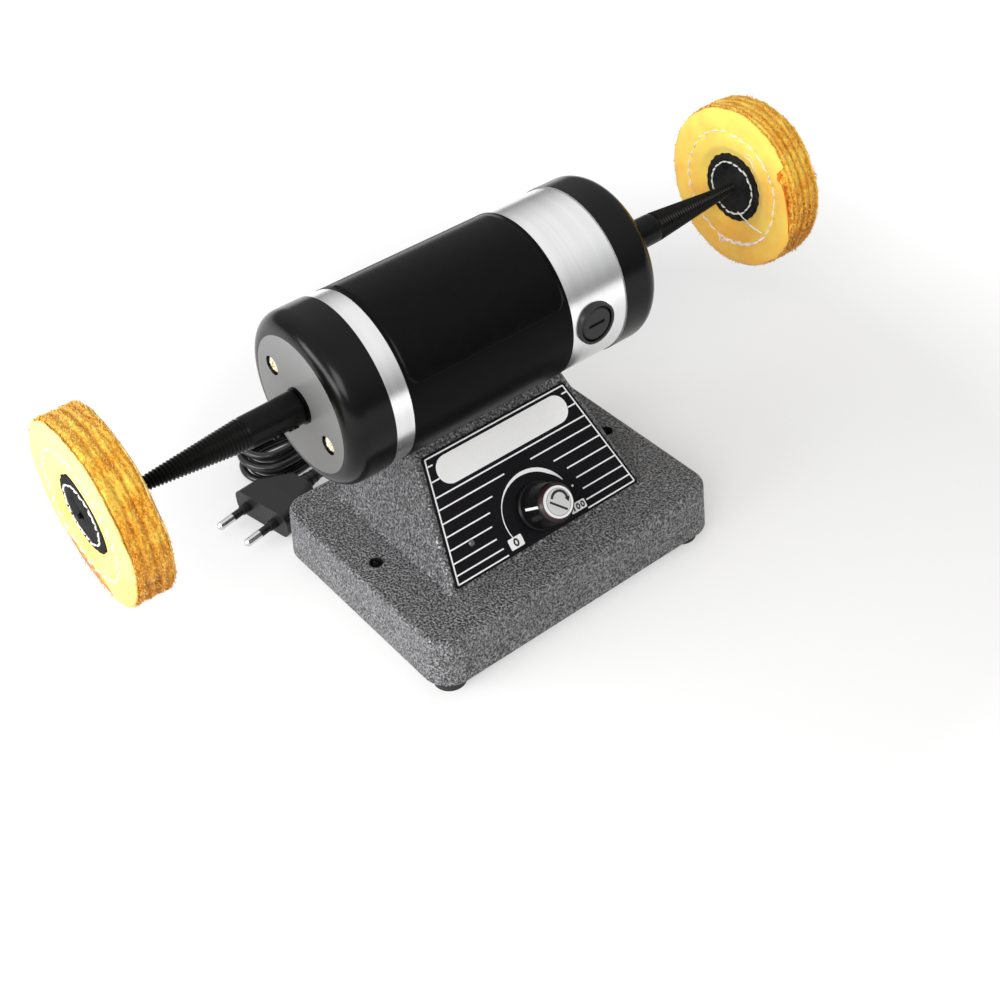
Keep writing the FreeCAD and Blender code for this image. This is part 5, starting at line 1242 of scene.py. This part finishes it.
def make_floor():
    """A white floor that keeps the object's shadow; what the camera and metal see of it glows."""
    data = bpy.data.meshes.new("floor")
    low, high = -FLOOR_REACH, FLOOR_REACH
    corners = [(low, low, 0), (high, low, 0), (high, high, 0), (low, high, 0)]
    data.from_pydata(corners, [], [(0, 1, 2, 3)])
    material, tree, shader = new_material("white_floor")
    connect(tree, shader, {"Base Color": (FLOOR_COLOUR, FLOOR_COLOUR, FLOOR_COLOUR, 1.0),
                           "Roughness": 0.9, "Specular IOR Level": 0.1})
    far = mapped(tree, distance_to(tree, object_points(tree), GLOW_MIDDLE), GLOW_NEAR, GLOW_FAR,
                 FLOOR_GLOW, BACKDROP_GLOW)
    seen = light_path(tree, "Camera", "Glossy", "Transmission")
    strength = calculated(tree, "MULTIPLY", seen, far)
    glow = add_node(tree, "Emission", {"Color": (1.0, 1.0, 1.0, 1.0), "Strength": strength})
    both = add_node(tree, "AddShader", {0: shader.outputs[0], 1: glow.outputs[0]})
    connect(tree, tree.nodes["Material Output"], {"Surface": both.outputs[0]})
    data.materials.append(material)
    new_object("floor", data)


def make_world():
    """A dim room, brighter overhead and to the left, with a white backdrop that metal shows."""
    world = bpy.data.worlds.new("studio")
    bpy.context.scene.world = world
    world.use_nodes = True
    tree = world.node_tree
    place = add_node(tree, "TexCoord").outputs["Generated"]
    heading = add_node(tree, "SeparateXYZ", {0: place}).outputs
    room = calculated(tree, "ADD", mapped(tree, heading["Z"], 0.0, 1.0, 0.08, 0.58),
                      mapped(tree, heading["X"], -1.0, 0.2, 0.25, 0.0))
    backdrop = mapped(tree, heading["Z"], 0.0, 0.75, 0.2, 1.0)
    shown = add_node(tree, "Mix", {0: light_path(tree, "Glossy", "Transmission"), 2: room,
                                   3: backdrop}, data_type="FLOAT").outputs[0]
    seen = add_node(tree, "Mix", {0: light_path(tree, "Camera"), 2: shown, 3: 1.0},
                    data_type="FLOAT").outputs[0]
    connect(tree, tree.nodes["Background"], {"Color": (1.0, 1.0, 1.0, 1.0), "Strength": seen})


def make_light(name, place, target, size, power, colour):
    data = bpy.data.lights.new(name, "AREA")
    data.shape = "RECTANGLE"
    data.size, data.size_y = size
    data.energy = power
    data.color = colour
    light = new_object(name, data)
    light.location = place
    light.rotation_euler = (Vector(target) - Vector(place)).to_track_quat("-Z", "Y").to_euler()


def main():
    bpy.context.scene.view_settings.view_transform = "Standard"
    make_camera()
    make_materials()
    make_cord()
    finish_nodes()
    make_panel_print()
    make_knob()
    make_spindle("left", -1, LEFT_COLLAR)
    make_spindle("right", 1, RIGHT_COLLAR)
    make_cover_screws()
    make_buff("left", -1, LEFT_SEED, LEFT_VALLEYS, PLAIN_EDGE, LEFT_EDGE, LEFT_FIBRES)
    make_buff("right", 1, RIGHT_SEED, RIGHT_VALLEYS, RIGHT_EDGE, PLAIN_EDGE, RIGHT_FIBRES)
    make_loose_threads()
    make_tear()
    make_label()
    make_floor()
    make_world()
    make_light("key", (-0.95, 0.10, 0.33), (-0.05, 0, 0.08), (0.95, 0.28), 9.6, (0.97, 0.98, 1.0))
    make_light("fill", (-0.95, -0.78, 0.90), (0, 0, 0.08), (0.7, 0.7), 11.5, (1.0, 0.985, 0.96))


main()
